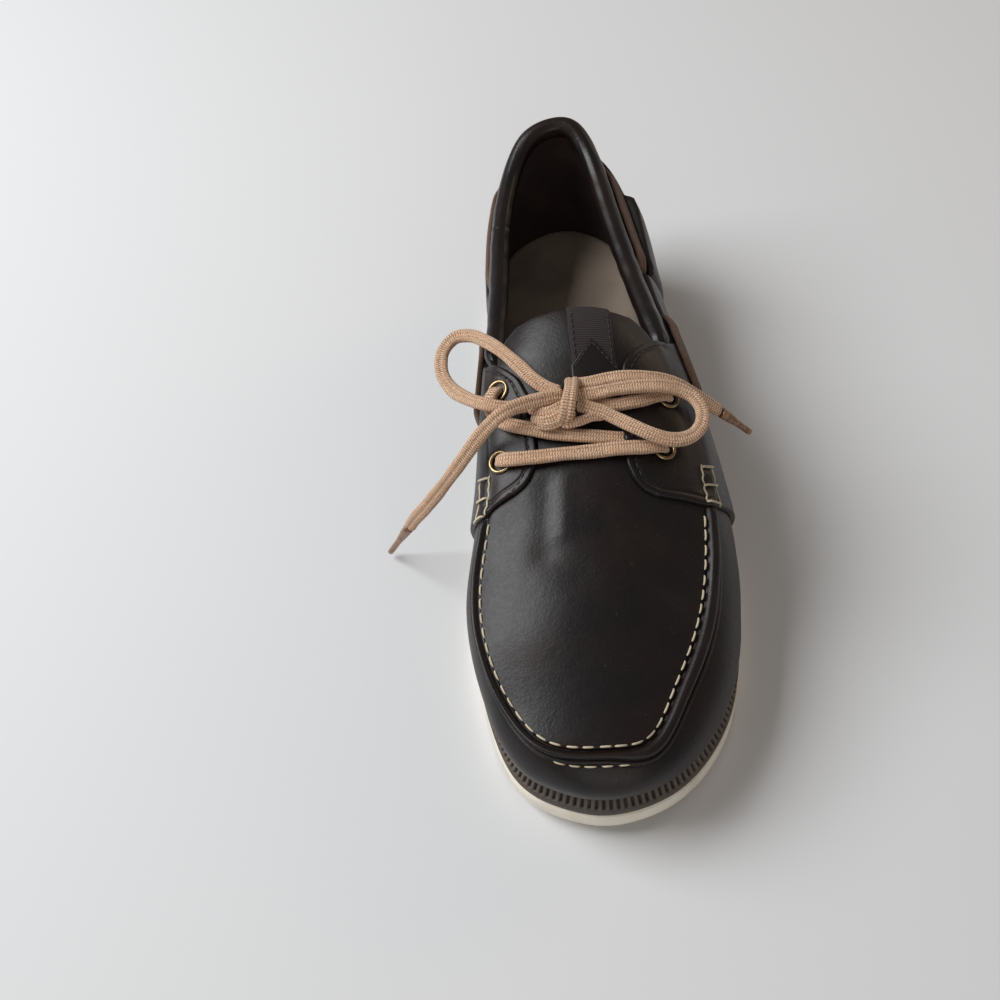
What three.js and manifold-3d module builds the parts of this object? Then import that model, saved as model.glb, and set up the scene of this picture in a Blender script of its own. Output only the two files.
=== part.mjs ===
// A left boat shoe, about a men's EU 43, standing empty on its sole. Millimetres, +Z up, toe toward -Y.
// Medial, the side towards the other foot, is -X and lateral is +X.
import * as THREE from 'three';
import { mergeVertices } from 'three/addons/utils/BufferGeometryUtils.js';
import Module from 'manifold-3d';

const wasm = await Module();
wasm.setup();

// Sections from the toe to the heel. Each has a station on the sole's edge and one on the rim, which is
// the moccasin seam in front and the collar's top line behind. bulge* is how far the side wall swells
// past a straight line from the sole to the rim, and crown is the height of the plug over its seam.
const sectionColumns = ['soleY', 'soleMedial', 'soleLateral', 'rimY', 'rimMedial', 'rimLateral',
  'rimZMedial', 'rimZLateral', 'bulgeMedial', 'bulgeLateral', 'crown'];
const sections = [
  [-150, -3.5, -3.5, -137.7, -3, -3, 42.5, 42.5, 7, 7, 0],
  [-146, -19.5, 14.5, -134.4, -22.8, 12.2, 43.5, 41.5, 7, 7, 2],
  [-134, -35.5, 31, -118.5, -35.5, 22.6, 44.5, 43.5, 7, 7, 5.5],
  [-109, -45, 46.5, -98, -42.4, 33, 48.5, 46.5, 7, 7, 9.5],
  [-74, -50, 54.5, -73, -43, 40.2, 53.5, 51.5, 7, 7, 12.5],
  [-42, -46.5, 56.5, -44, -36.5, 42.5, 66, 63, 5, 5, 11],
  [-8, -39, 53, -12, -35, 40, 76, 72.5, 5.5, 5, 12],
  [28, -34, 46.5, 17.5, -32.5, 34.5, 79, 78, 4, 8, 18],
  [65, -33, 41, 57, -28.5, 28.5, 76, 75, 3.5, 10.5, 18],
  [100, -33.5, 38.5, 95.5, -25, 23, 76, 76, 3, 10.5, 18],
  [130, -28.5, 33, 127, -18.5, 19, 80, 81.5, 3.5, 8, 18],
  [145, -14, 20, 143.8, -9, 14, 87.8, 89, 5, 5.5, 18],
  [150, 3, 3, 148.6, 4.5, 4.5, 90.5, 90.5, 5, 5, 18],
].map((row) => Object.fromEntries(sectionColumns.map((name, i) => [name, row[i]])));
const centre = { x: 3.5, y: 1.1 };  // middle of the shoe's length and width, moved to the origin

const outsoleHeight = 7.5;      // cream rubber, at its edge
const bandHeight = 11.5;        // top of the welt's upright band, where its bevel starts
const feather = { front: 16.2, rise: 7, from: -30, length: 110, inset: 2.8 };   // where upper meets welt
const toeSpring = { height: 7, from: -85, length: 65 };
const heelBevel = { height: 1.5, from: 125, length: 25 };
const arch = { height: 2.5, from: 10, to: 78, ramp: 16 };
const groove = { width: 2.2, depth: 2, wave: 1.6, waves: 2, edge: 9 };
const grooveRows = [-117, -104, -91, -78, -65, -52, -39, -26, -13, 91, 104, 117];
const gap = 0.3;                // air between pieces that touch
const leather = 2;              // wall of the upper
const panel = { thickness: 1.7, rear: 64, top: -9.5, lean: 0.45, leanLength: 24 };   // outer side panels
const counter = { front: 65.5, top: -17, medial: 2, lateral: 3.4, rear: 118 };
const insole = { thickness: 4, inset: 0.5 };
const tongue = { thickness: 3, sideGap: 4, corner: 10, top: 20 };
const plugRows = 6;             // the plug ends at this section, and the tongue carries on behind it
const roll = { diameter: 8.5, front: 19, tuck: 2.2, sides: 8 };
const eyelet = { hole: 3.2, barrel: 3.6, flange: 4.8, height: 0.6, sides: 12 };      // radii and height
const cord = { radius: 2.2, tip: 1.6, sides: 8 };
const side = { medial: -1, lateral: 1 };

// How far each side panel reaches over the plug as a flap: place along the shoe, reach from the rim.
const flapEdge = {
  medial: [
    [-50.5, 0], [-48.3, 2.5], [-47.4, 7.5], [-46, 12], [-43.5, 15.4], [-38, 18], [-33, 18.6], [-12, 17],
    [-4, 13.5], [2, 8.5], [8, 3], [13, -6], [17, -9.5],
  ],
  lateral: [
    [-53, 16], [-52, 21.3], [-50, 24.2], [-47, 26.3], [-42, 28], [-34, 28.3], [-12, 24.5],
    [-4, 21.5], [2, 16.5], [8, 9], [13, 2], [17, -9.5],
  ],
};

// Lump on the counter's lateral side, just under the lace: place along the shoe, height.
const counterLump = [[78, 0], [92, 1.4], [108, 2.9], [114, 2.4], [118.5, 0]];

// Eyelets, from above.
const eyelets = {
  medialFront: { x: -30.6, y: -33.4 },
  lateralFront: { x: 28.5, y: -35.2 },
  medialRear: { x: -28.9, y: -6 },
  lateralRear: { x: 32.5, y: -14 },
};

// ---- the shoe's own surface ---------------------------------------------------------------------
const rowCount = sections.length - 1;
const ringCount = 2 * rowCount;

// A smooth closed curve through the stations, toe, lateral side, heel, medial side: a cubic B-spline
// whose control values are worked out from the stations by the spline's own recursive filter.
function closedSpline(medialName, lateralName) {
  const stations = sections.map((row) => row[lateralName]);
  for (let i = rowCount - 1; i > 0; i--) stations.push(sections[i][medialName]);
  const decay = Math.sqrt(3) - 2;
  const controls = stations.map((_, i) => {
    let sum = 0;
    for (let k = -rowCount; k <= rowCount; k++) {
      sum += Math.sqrt(3) * decay ** Math.abs(k) * stations[(i + k + ringCount) % ringCount];
    }
    return sum;
  });
  return (t) => {
    const i = Math.floor(t);
    const u = t - i;
    const c = (k) => controls[(i + k + 2 * ringCount) % ringCount];
    return ((1 - u) ** 3 * c(-1) + (3 * u ** 3 - 6 * u ** 2 + 4) * c(0)
      + (3 * u + 3 * u ** 2 - 3 * u ** 3 + 1) * c(1) + u ** 3 * c(2)) / 6;
  };
}
const soleX = closedSpline('soleMedial', 'soleLateral');
const soleY = closedSpline('soleY', 'soleY');
const rimX = closedSpline('rimMedial', 'rimLateral');
const rimY = closedSpline('rimY', 'rimY');
const rimZ = closedSpline('rimZMedial', 'rimZLateral');
const bulge = closedSpline('bulgeMedial', 'bulgeLateral');
const crown = closedSpline('crown', 'crown');

const clamp01 = (x) => Math.min(1, Math.max(0, x));
const smooth = (x) => x * x * (3 - 2 * x);
const floorZ = (y) => toeSpring.height * clamp01((toeSpring.from - y) / toeSpring.length) ** 2
  + heelBevel.height * clamp01((y - heelBevel.from) / heelBevel.length) ** 2;
const featherZ = (y) => feather.front + feather.rise * clamp01((y - feather.from) / feather.length)
  + floorZ(y);

// The point of the sole's edge at station t, moved in by inset.
function soleEdge(t, inset) {
  const step = 0.001;
  const dx = soleX(t + step) - soleX(t - step);
  const dy = soleY(t + step) - soleY(t - step);
  const length = Math.hypot(dx, dy);
  return new THREE.Vector2(soleX(t) - inset * dy / length, soleY(t) + inset * dx / length);
}

const rim = (t) => new THREE.Vector3(rimX(t), rimY(t), rimZ(t));
const ringStation = (side, row) => (side > 0 ? row : ringCount - row);

// The bare surface: q runs from the sole (0) up the side wall to the rim (1) and over the plug, past its
// centre line (2), to the other side's rim (3).
function bareSkin(side, row, q) {
  const t = ringStation(side, row);
  if (q > 1) {
    const w = (q - 1) / 2;
    const point = rim(t).lerp(rim(ringStation(-side, row)), w);
    point.z += 4 * w * (1 - w) * crown(row);
    return point;
  }
  const foot = soleEdge(t, feather.inset);
  const swell = soleEdge(t, feather.inset - bulge(t));
  const z = featherZ(soleY(t));
  const top = rim(t);
  return new THREE.Vector3(foot.x, foot.y, z).multiplyScalar((1 - q) ** 2)
    .addScaledVector(new THREE.Vector3(swell.x, swell.y, z + 0.55 * (top.z - z)), 2 * q * (1 - q))
    .addScaledVector(top, q * q);
}

// The same surface raised by lift along its normal.
function skin(side, row, q, lift = 0) {
  const step = 0.02;
  const low = Math.max(0, q - step);
  const along = bareSkin(side, row + step, q).sub(bareSkin(side, row - step, q));
  const up = bareSkin(side, row, q + step).sub(bareSkin(side, row, low));
  const normal = along.cross(up).normalize().multiplyScalar(side);
  return bareSkin(side, row, q).addScaledVector(normal, lift);
}

// Row at which one of the lengthwise splines, the sole's or the rim's, reaches y: found by halving.
function rowOf(spline, y) {
  let low = 0;
  let high = rowCount;
  for (let i = 0; i < 30; i++) {
    const middle = (low + high) / 2;
    if (spline(middle) < y) low = middle;
    else high = middle;
  }
  return (low + high) / 2;
}

// q of the place that lies reach millimetres inward of the rim over the plug, or down the wall if negative.
function qAt(side, row, reach) {
  const t = ringStation(side, row);
  const span = reach > 0 ? rim(t).distanceTo(rim(ringStation(-side, row))) / 2
    : rim(t).distanceTo(bareSkin(side, row, 0.8)) / 0.2;
  return 1 + reach / span;
}


// ---- making solids ------------------------------------------------------------------------------
function geometryOf(points, index) {
  const geometry = new THREE.BufferGeometry();
  geometry.setAttribute('position', new THREE.Float32BufferAttribute(points.flatMap((p) => [p.x, p.y, p.z]), 3));
  geometry.setIndex(index);
  return geometry;
}

function cornersOf(geometry) {
  const position = geometry.getAttribute('position');
  return Array.from({ length: position.count }, (_, i) => new THREE.Vector3().fromBufferAttribute(position, i));
}

// Welds equal corners, drops triangles that have collapsed and turns the faces outward.
function closeUp(points, index) {
  const welded = mergeVertices(geometryOf(points, index), 0.001);
  const corners = cornersOf(welded);
  const kept = [];
  let volume = 0;
  for (let i = 0; i < welded.index.count; i += 3) {
    const [a, b, c] = [0, 1, 2].map((k) => welded.index.getX(i + k));
    if (a === b || b === c || c === a) continue;
    kept.push(a, b, c);
    volume += corners[a].dot(corners[b].clone().cross(corners[c]));
  }
  if (volume < 0) kept.reverse();
  return geometryOf(corners, kept);
}

// A slab between two grids of points, each grid[column][row]. A ring joins its last column to its first.
function slab(outer, inner, ring = false) {
  const columns = outer.length;
  const rows = outer[0].length;
  const index = [];
  const at = (layer, i, j) => (layer * columns + (i % columns)) * rows + j;
  const quad = (a, b, c, d) => index.push(a, b, c, a, c, d);
  const spans = ring ? columns : columns - 1;
  for (let i = 0; i < spans; i++) {
    for (let j = 0; j < rows - 1; j++) {
      quad(at(0, i, j), at(0, i + 1, j), at(0, i + 1, j + 1), at(0, i, j + 1));
      quad(at(1, i, j), at(1, i, j + 1), at(1, i + 1, j + 1), at(1, i + 1, j));
    }
    quad(at(0, i + 1, 0), at(0, i, 0), at(1, i, 0), at(1, i + 1, 0));
    quad(at(0, i, rows - 1), at(0, i + 1, rows - 1), at(1, i + 1, rows - 1), at(1, i, rows - 1));
  }
  if (!ring) {
    for (let j = 0; j < rows - 1; j++) {
      quad(at(0, 0, j), at(0, 0, j + 1), at(1, 0, j + 1), at(1, 0, j));
      quad(at(0, spans, j + 1), at(0, spans, j), at(1, spans, j), at(1, spans, j + 1));
    }
  }
  return closeUp([...outer.flat(), ...inner.flat()], index);
}

// Thickens an open surface inward: its other skin is moved along the corner normals, and the free edges
// of the two skins are joined.
function thicken(points, index, thickness) {
  const surface = mergeVertices(geometryOf(points, index), 0.001);
  surface.computeVertexNormals();
  const corners = cornersOf(surface);
  const normals = surface.getAttribute('normal');
  const count = corners.length;
  const inner = corners.map((p, i) => p.clone()
    .addScaledVector(new THREE.Vector3().fromBufferAttribute(normals, i), -thickness));
  const faces = [];
  const edges = new Map();
  for (let i = 0; i < surface.index.count; i += 3) {
    const triangle = [0, 1, 2].map((k) => surface.index.getX(i + k));
    if (new Set(triangle).size < 3) continue;
    const [a, b, c] = triangle;
    faces.push(a, b, c, count + a, count + c, count + b);
    for (const [from, to] of [[a, b], [b, c], [c, a]]) {
      if (!edges.delete(`${to}_${from}`)) edges.set(`${from}_${to}`, [from, to]);
    }
  }
  for (const [from, to] of edges.values()) {
    faces.push(to, from, count + from, to, count + from, count + to);
  }
  return closeUp([...corners, ...inner], faces);
}

// A level-sided plate between two closed outlines that share their stations, toe first. Its two faces
// are rungs from the lateral side to the medial side, so they follow the toe spring and the arch.
function plate(outlines) {
  const count = outlines[0].length;
  const index = [];
  outlines.slice(1).forEach((_, layer) => {
    for (let i = 0; i < count; i++) {
      const [a, b] = [layer * count + i, layer * count + (i + 1) % count];
      index.push(a, b, b + count, a, b + count, a + count);
    }
  });
  const rung = (base, flip) => {
    for (let i = 0; i < count / 2; i++) {
      const [a, b] = [base + i, base + i + 1];
      const [c, d] = [base + (count - i) % count, base + (count - i - 1) % count];
      if (flip) index.push(a, c, b, b, c, d);
      else index.push(a, b, c, b, d, c);
    }
  };
  rung(0, true);
  rung((outlines.length - 1) * count, false);
  return closeUp(outlines.flat(), index);
}

function toManifold(geometry) {
  const bare = geometry.index ? geometry.clone() : mergeVertices(geometry);
  bare.deleteAttribute('normal');
  bare.deleteAttribute('uv');
  const merged = mergeVertices(bare, 0.0001);
  return new wasm.Manifold(new wasm.Mesh({
    numProp: 3,
    vertProperties: new Float32Array(merged.getAttribute('position').array),
    triVerts: new Uint32Array(merged.index.array),
  }));
}

function fromManifold(manifold) {
  const mesh = manifold.getMesh();
  const geometry = new THREE.BufferGeometry();
  geometry.setAttribute('position', new THREE.BufferAttribute(new Float32Array(mesh.vertProperties), 3));
  geometry.setIndex(new THREE.BufferAttribute(new Uint32Array(mesh.triVerts), 1));
  return geometry;
}

const cutAway = (geometry, tools) => fromManifold(
  tools.reduce((body, tool) => body.subtract(toManifold(tool)), toManifold(geometry)),
);

// A round tube along a smooth curve through the points.
function tube(points, radius, steps, sides = cord.sides) {
  const section = new THREE.Shape();
  for (let i = 0; i < sides; i++) {
    const angle = 2 * Math.PI * (i + 0.5) / sides;
    if (i === 0) section.moveTo(radius * Math.cos(angle), radius * Math.sin(angle));
    else section.lineTo(radius * Math.cos(angle), radius * Math.sin(angle));
  }
  section.closePath();
  const path = new THREE.CatmullRomCurve3(points, false, 'centripetal');
  const options = { steps, bevelEnabled: false, extrudePath: path, curveSegments: 1 };
  return new THREE.ExtrudeGeometry(section, options);
}

const range = (count) => Array.from({ length: count }, (_, i) => i);
const between = (from, to, count) => range(count).map((i) => from + (to - from) * i / (count - 1));

// ---- sole ---------------------------------------------------------------------------------------
const stationsPerRow = 3;
const ringStations = range(ringCount * stationsPerRow).map((i) => i / stationsPerRow);
const stepUp = (x) => smooth(clamp01(x));
const archZ = (y) => arch.height * stepUp((y - arch.from) / arch.ramp) * stepUp((arch.to - y) / 3);

const outline = (inset, heightAt) => ringStations.map((t) => {
  const point = soleEdge(t, inset);
  return new THREE.Vector3(point.x, point.y, heightAt(soleY(t)));
});

function soleHalfWidth(y) {
  const row = rowOf(soleY, y);
  return { medial: soleX(ringCount - row), lateral: soleX(row) };
}

// A wavy bar across the sole, from the floor up to the groove's depth.
function grooveTool(y) {
  const width = soleHalfWidth(y);
  const [from, to] = [width.medial + groove.edge, width.lateral - groove.edge];
  const shape = new THREE.Shape();
  const wave = (x) => groove.wave * Math.sin(2 * Math.PI * groove.waves * (x - from) / (to - from));
  const stations = between(from, to, 6 * groove.waves + 1);
  shape.moveTo(from, y - groove.width / 2);
  for (const x of stations.slice(1)) shape.lineTo(x, y + wave(x) - groove.width / 2);
  for (const x of stations.toReversed()) shape.lineTo(x, y + wave(x) + groove.width / 2);
  shape.closePath();
  const depth = floorZ(y) + groove.depth + 1;
  return new THREE.ExtrudeGeometry(shape, { depth, bevelEnabled: false, steps: 1 }).translate(0, 0, -1);
}

const outsole = () => cutAway(plate([
  outline(1, (y) => floorZ(y) + archZ(y)),
  outline(0, (y) => floorZ(y) + archZ(y) + 1),
  outline(0, (y) => floorZ(y) + outsoleHeight),
]), grooveRows.map(grooveTool));

const welt = () => plate([
  outline(0.5, (y) => floorZ(y) + outsoleHeight + gap),
  outline(0.5, (y) => featherZ(y) - (feather.front - bandHeight)),
  outline(feather.inset - 0.4, (y) => featherZ(y) - gap),
]);

const insolePiece = () => plate([
  outline(feather.inset + leather + insole.inset, (y) => featherZ(y)),
  outline(feather.inset + leather + insole.inset, (y) => featherZ(y) + insole.thickness),
]);

// ---- upper --------------------------------------------------------------------------------------
const wallRows = 6;
const plugColumns = 10;
const sideOf = (t) => (t <= rowCount ? { which: 1, row: t } : { which: -1, row: ringCount - t });

// Reach of the wall's free edge: the rim itself, or under the rolled collar.
const wallTop = (row) => (rimY(row) < roll.front - 3 ? 0 : -(roll.diameter + 3 * gap));

function upper() {
  const points = [];
  const index = [];
  const rows = wallRows + 1;
  for (const t of ringStations) {
    const { which, row } = sideOf(t);
    const top = qAt(which, row, wallTop(row));
    for (const q of between(0, top, rows)) points.push(skin(which, row, q));
  }
  const columns = ringStations.length;
  for (let i = 0; i < columns; i++) {
    for (let j = 0; j < wallRows; j++) {
      const [a, b] = [i * rows + j, (i + 1) % columns * rows + j];
      index.push(a, b, b + 1, a, b + 1, a + 1);
    }
  }
  const base = points.length;
  const plugStations = range(plugRows * stationsPerRow + 1).map((i) => i / stationsPerRow);
  for (const row of plugStations) {
    for (const q of between(1, 3, plugColumns + 1)) points.push(bareSkin(1, row, q));
  }
  for (let i = 0; i < plugStations.length - 1; i++) {
    for (let j = 0; j < plugColumns; j++) {
      const a = base + i * (plugColumns + 1) + j;
      const b = a + plugColumns + 1;
      index.push(a, b, b + 1, a, b + 1, a + 1);
    }
  }
  return thicken(points, index, leather);
}

// The tongue carries the plug's surface on to the throat, narrowing to round corners.
function tonguePiece() {
  const start = rimY(plugRows) + 0.5;
  const grid = (lift) => between(start, tongue.top, 9).map((y) => {
    const row = rowOf(rimY, y);
    const corner = clamp01((y - (tongue.top - tongue.corner)) / tongue.corner);
    const inset = tongue.sideGap + tongue.corner * (1 - Math.sqrt(1 - corner ** 2 * 0.96));
    const edge = qAt(1, row, inset);
    return between(edge, 4 - edge, 13).map((q) => skin(1, row, q, lift));
  });
  return slab(grid(0), grid(-tongue.thickness));
}

// ---- outer panels -------------------------------------------------------------------------------
function lerpTable(table, y) {
  const i = Math.max(0, Math.min(table.length - 2, table.findLastIndex((row) => row[0] <= y)));
  const [[y0, v0], [y1, v1]] = [table[i], table[i + 1]];
  return v0 + (v1 - v0) * clamp01((y - y0) / (y1 - y0));
}

function quarter(name) {
  const flap = flapEdge[name];
  const [front, last] = [flap[0][0], flap.at(-1)[0]];
  const stations = [...flap.map(([y]) => y), -28, -20, ...between(last, panel.rear, 6).slice(1)];
  stations.sort((a, b) => a - b);
  const grid = (lift) => stations.map((y) => {
    const row = rowOf(rimY, y);
    const edge = qAt(side[name], row, lerpTable(flap, y));
    const fold = Math.min(1, edge);
    const wall = between(0.02, fold, wallRows + 1);
    const over = between(fold, edge, 5).slice(1);
    const lean = panel.lean * clamp01(1 - (y - front) / panel.leanLength);   // the front edge runs back on the wall
    return [...wall, ...over].map((q) => skin(side[name], row + lean * Math.max(0, 1 - q), q, lift));
  });
  const body = slab(grid(gap + panel.thickness), grid(gap));
  const holes = Object.entries(eyelets).filter(([key]) => key.startsWith(name)).map(([, place]) => {
    const hole = new THREE.CylinderGeometry(eyelet.barrel + gap, eyelet.barrel + gap, 8, eyelet.sides);
    return hole.applyMatrix4(eyeletFrame(place));
  });
  return cutAway(body, holes);
}

// The counter stands further out on its lateral side, with a lump along its top edge.
function heelCounter() {
  const front = rowOf(rimY, counter.front);
  const proud = (which, row, share) => {
    if (which < 0) return counter.medial;
    const y = rimY(row);
    const swell = stepUp((y - counter.front) / 6) * stepUp((counter.rear - y) / 4);
    return counter.medial + (counter.lateral - counter.medial) * swell + lerpTable(counterLump, y) * share ** 2;
  };
  const grid = (liftAt) => between(front, ringCount - front, 31).map((t) => {
    const { which, row } = sideOf(t);
    const shares = between(0, 1, 6);
    const top = qAt(which, row, counter.top);
    return shares.map((share) => skin(which, row, 0.02 + (top - 0.02) * share, liftAt(which, row, share)));
  });
  return slab(grid((which, row, share) => gap + proud(which, row, share)), grid(() => gap));
}

function collarRoll() {
  const front = rowOf(rimY, roll.front);
  const points = between(front, ringCount - front, 40).map((t) => {
    const { which, row } = sideOf(t);
    return skin(which, row, qAt(which, row, -roll.diameter / 2), -roll.tuck);
  });
  return tube(points, roll.diameter / 2, 48, roll.sides);
}

// ---- eyelets and lace ---------------------------------------------------------------------------
// A point over the plug or tongue at x, y, raised by lift.
function overTop(x, y, lift) {
  const row = rowOf(rimY, y);
  const [lateral, medial] = [rim(row), rim(ringCount - row)];
  return skin(1, row, 1 + 2 * (lateral.x - x) / (lateral.x - medial.x), lift);
}

// Stands a piece made along Y on the flap at an eyelet.
function eyeletFrame({ x, y }) {
  const foot = overTop(x, y, 0);
  const up = overTop(x, y, 1).sub(foot).normalize();
  const turn = new THREE.Quaternion().setFromUnitVectors(new THREE.Vector3(0, 1, 0), up);
  return new THREE.Matrix4().compose(foot, turn, new THREE.Vector3(1, 1, 1));
}

function eyeletPiece(place) {
  const seat = 2 * gap + panel.thickness;
  const profile = [
    [eyelet.hole, 0.7],
    [eyelet.barrel, 0.7],
    [eyelet.barrel, seat],
    [eyelet.flange, seat],
    [eyelet.flange, seat + eyelet.height],
    [eyelet.hole, seat + eyelet.height],
    [eyelet.hole, 0.7],
  ].map(([r, z]) => new THREE.Vector2(r, z));
  const ring = new THREE.LatheGeometry(profile, eyelet.sides).applyMatrix4(eyeletFrame(place));
  return closeUp(cornersOf(ring), [...ring.index.array]);
}

// Lace stretches that lie on the shoe: x, y and the height of the lace's centre over the plug.
const laceBars = {
  lace_front_bar: [
    [-31, -33.3, 1.4], [-30.6, -33.4, 3.4], [-27.9, -34.4, 5.5], [-23.5, -35.6, 5.5], [-19.3, -36.3, 5],
    [-15.2, -36.7, 4.2], [-7.3, -37.1, 3.4], [-0.7, -37.4, 3.1], [6.3, -37.2, 3.2], [11, -37.1, 4.2],
    [15.3, -37, 4.9], [20.5, -36.7, 5.3], [25.7, -35.8, 5.5], [28.4, -35.2, 3.4], [28.8, -35.1, 1.4],
  ],
  lace_cross_bar: [
    [-28.8, -5.6, 1.4], [-28.9, -6.1, 3.4], [-30.2, -8.8, 5.6], [-31.1, -12.4, 5.5], [-30.2, -16.3, 5.2],
    [-26.8, -20.5, 4.9], [-21.2, -24.1, 4.9], [-15.8, -26.5, 4.2], [-10, -28.6, 2.9], [-2.7, -30.6, 2.7],
    [4, -31.7, 2.7], [10.5, -32.4, 2.6],
  ],
  lace_rear_bar: [
    [32.9, -13.9, 1.4], [32.5, -14, 3.4], [29.8, -14.7, 5.4], [26, -16.2, 5.2], [22, -18.2, 5],
    [17.5, -19.4, 4.7], [13.5, -20.2, 4.2], [10.5, -20.6, 3.4],
  ],
};

// The lace that shows on each side: from and to are places along the shoe, lift is over the bare upper.
const sideLaces = {
  side_lace_medial_rear: { name: 'medial', from: 67.5, to: 130, reach: -12, lift: gap + cord.radius },
  side_lace_lateral_rear: { name: 'lateral', from: 67.5, to: 130, reach: -12, lift: gap + cord.radius },
  side_lace_medial_front: { name: 'medial', from: -8, to: 34, reach: -13, lift: 0 },
  side_lace_lateral_front: { name: 'lateral', from: -8, to: 34, reach: -13, lift: 0 },
};

function sideLace({ name, from, to, reach, lift }) {
  const centreLift = lift || 2 * gap + panel.thickness + cord.radius;
  const points = between(from, to, 7).map((y) => {
    const row = rowOf(rimY, y);
    return skin(side[name], row, qAt(side[name], row, reach), centreLift);
  });
  return tube(points, cord.radius, 10);
}

const knot = { centre: [-5, -21, 88.2], half: [6, 6.5, 4] };
const freeLaces = {
  lace_loop_medial: [
    [-10.7, -14.5, 89.5], [-15.8, -10, 90.5], [-21.3, -2, 91], [-27.6, 7.7, 90], [-33.2, 15.3, 88],
    [-39.1, 21.5, 85.5], [-45.1, 22.7, 84], [-49.8, 18.2, 82.5], [-51.2, 12.9, 81.5], [-50.7, 5.8, 81],
    [-47, -2.5, 81.5], [-41.2, -10.1, 84], [-36.6, -14.8, 86.3], [-31.8, -17.8, 87.2], [-27, -19, 87],
    [-21.9, -19.2, 87], [-16.7, -18.2, 87],
  ],
  lace_loop_lateral: [
    [4.9, -18.8, 89.2], [10.1, -18.2, 89.7], [15.2, -17.5, 89.5], [22.6, -17, 89], [30, -17, 88],
    [37.3, -17.6, 85.5], [42.1, -20.5, 83.5], [44.3, -25.4, 82], [43.5, -30.8, 81], [40, -35.2, 80.5],
    [35.2, -37.8, 81.5], [29.8, -38.3, 83], [23.9, -36.4, 84.8], [18.8, -33.5, 85.8], [12.1, -28.8, 86.5],
    [7.7, -26.3, 87.5], [4.2, -25, 88],
  ],
  lace_end_lateral: [
    [4, -13.2, 88.8], [7.5, -12.4, 89], [11.3, -11.8, 89], [15.7, -11.6, 89], [19.4, -11.5, 88.5],
    [23.2, -11.2, 87.7], [27, -11.2, 86.8], [30.8, -11.2, 85.5], [35.2, -11.8, 83.7], [39, -12.6, 81.5],
    [42.5, -13.6, 78.8], [46.5, -14.9, 75.5], [50.1, -15.8, 72.3], [53.3, -16.8, 69.8],
  ],
  lace_end_medial: [
    [-13, -21.2, 91.7], [-18, -22, 92.2], [-22.5, -23.4, 92.3], [-26.2, -24.8, 92], [-29.7, -25.7, 90.4],
    [-33.6, -26.4, 86.8], [-38.4, -27.6, 81.5], [-43.7, -29.2, 74.5], [-49.5, -30, 66], [-55.6, -30, 56.5],
    [-59.8, -29.7, 50], [-63.7, -29, 43.8], [-68, -27.6, 36.8], [-72.1, -26, 28.5],
  ],
};
const laceTips = {
  lace_tip_lateral: { from: [53.7, -16.9, 69.4], to: [65.1, -18.8, 58] },
  lace_tip_medial: { from: [-72.4, -25.9, 28], to: [-84.2, -19.1, 2.6] },
};
const vector = (p) => new THREE.Vector3(...p);

function knotPiece() {
  const ball = new THREE.SphereGeometry(1, 12, 8).scale(...knot.half).translate(...knot.centre);
  return closeUp(cornersOf(ball), [...ball.index.array]);
}

// ---- assembly -----------------------------------------------------------------------------------
const finish = (color, roughness, metalness = 0) => new THREE.MeshStandardMaterial({ color, roughness, metalness });
const finishes = {
  cream: finish('#d9d3bd', 0.7),
  brownRubber: finish('#5c463a', 0.75),
  footbed: finish('#7d7060', 0.85),
  leather: finish('#2a2221', 0.45),
  brass: finish('#a98b4e', 0.35, 1),
  lace: finish('#c69c6d', 0.9),
  tip: finish('#b98c5c', 0.5),
};

const shoe = new THREE.Group();
shoe.position.set(-centre.x, -centre.y, 0);
function add(name, geometry, material) {
  const mesh = new THREE.Mesh(geometry, material);
  mesh.name = name;
  shoe.add(mesh);
}

add('outsole', outsole(), finishes.cream);
add('welt', welt(), finishes.brownRubber);
add('insole', insolePiece(), finishes.footbed);
add('upper', upper(), finishes.leather);
add('tongue', tonguePiece(), finishes.leather);
add('quarter_medial', quarter('medial'), finishes.leather);
add('quarter_lateral', quarter('lateral'), finishes.leather);
add('heel_counter', heelCounter(), finishes.leather);
add('collar_roll', collarRoll(), finishes.leather);
Object.values(eyelets).forEach((place, i) => add(`eyelet_${i + 1}`, eyeletPiece(place), finishes.brass));
for (const [name, route] of Object.entries(laceBars)) {
  add(name, tube(route.map((p) => overTop(...p)), cord.radius, Math.round(1.5 * route.length)), finishes.lace);
}
for (const [name, lie] of Object.entries(sideLaces)) add(name, sideLace(lie), finishes.lace);
for (const [name, route] of Object.entries(freeLaces)) {
  add(name, tube(route.map(vector), cord.radius, route.length), finishes.lace);
}
for (const [name, { from, to }] of Object.entries(laceTips)) {
  add(name, tube([vector(from), vector(to)], cord.tip, 1), finishes.tip);
}
add('lace_knot', knotPiece(), finishes.lace);

export default shoe;
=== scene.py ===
import math

import bpy
import numpy as np
from mathutils import Matrix, Vector


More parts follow.
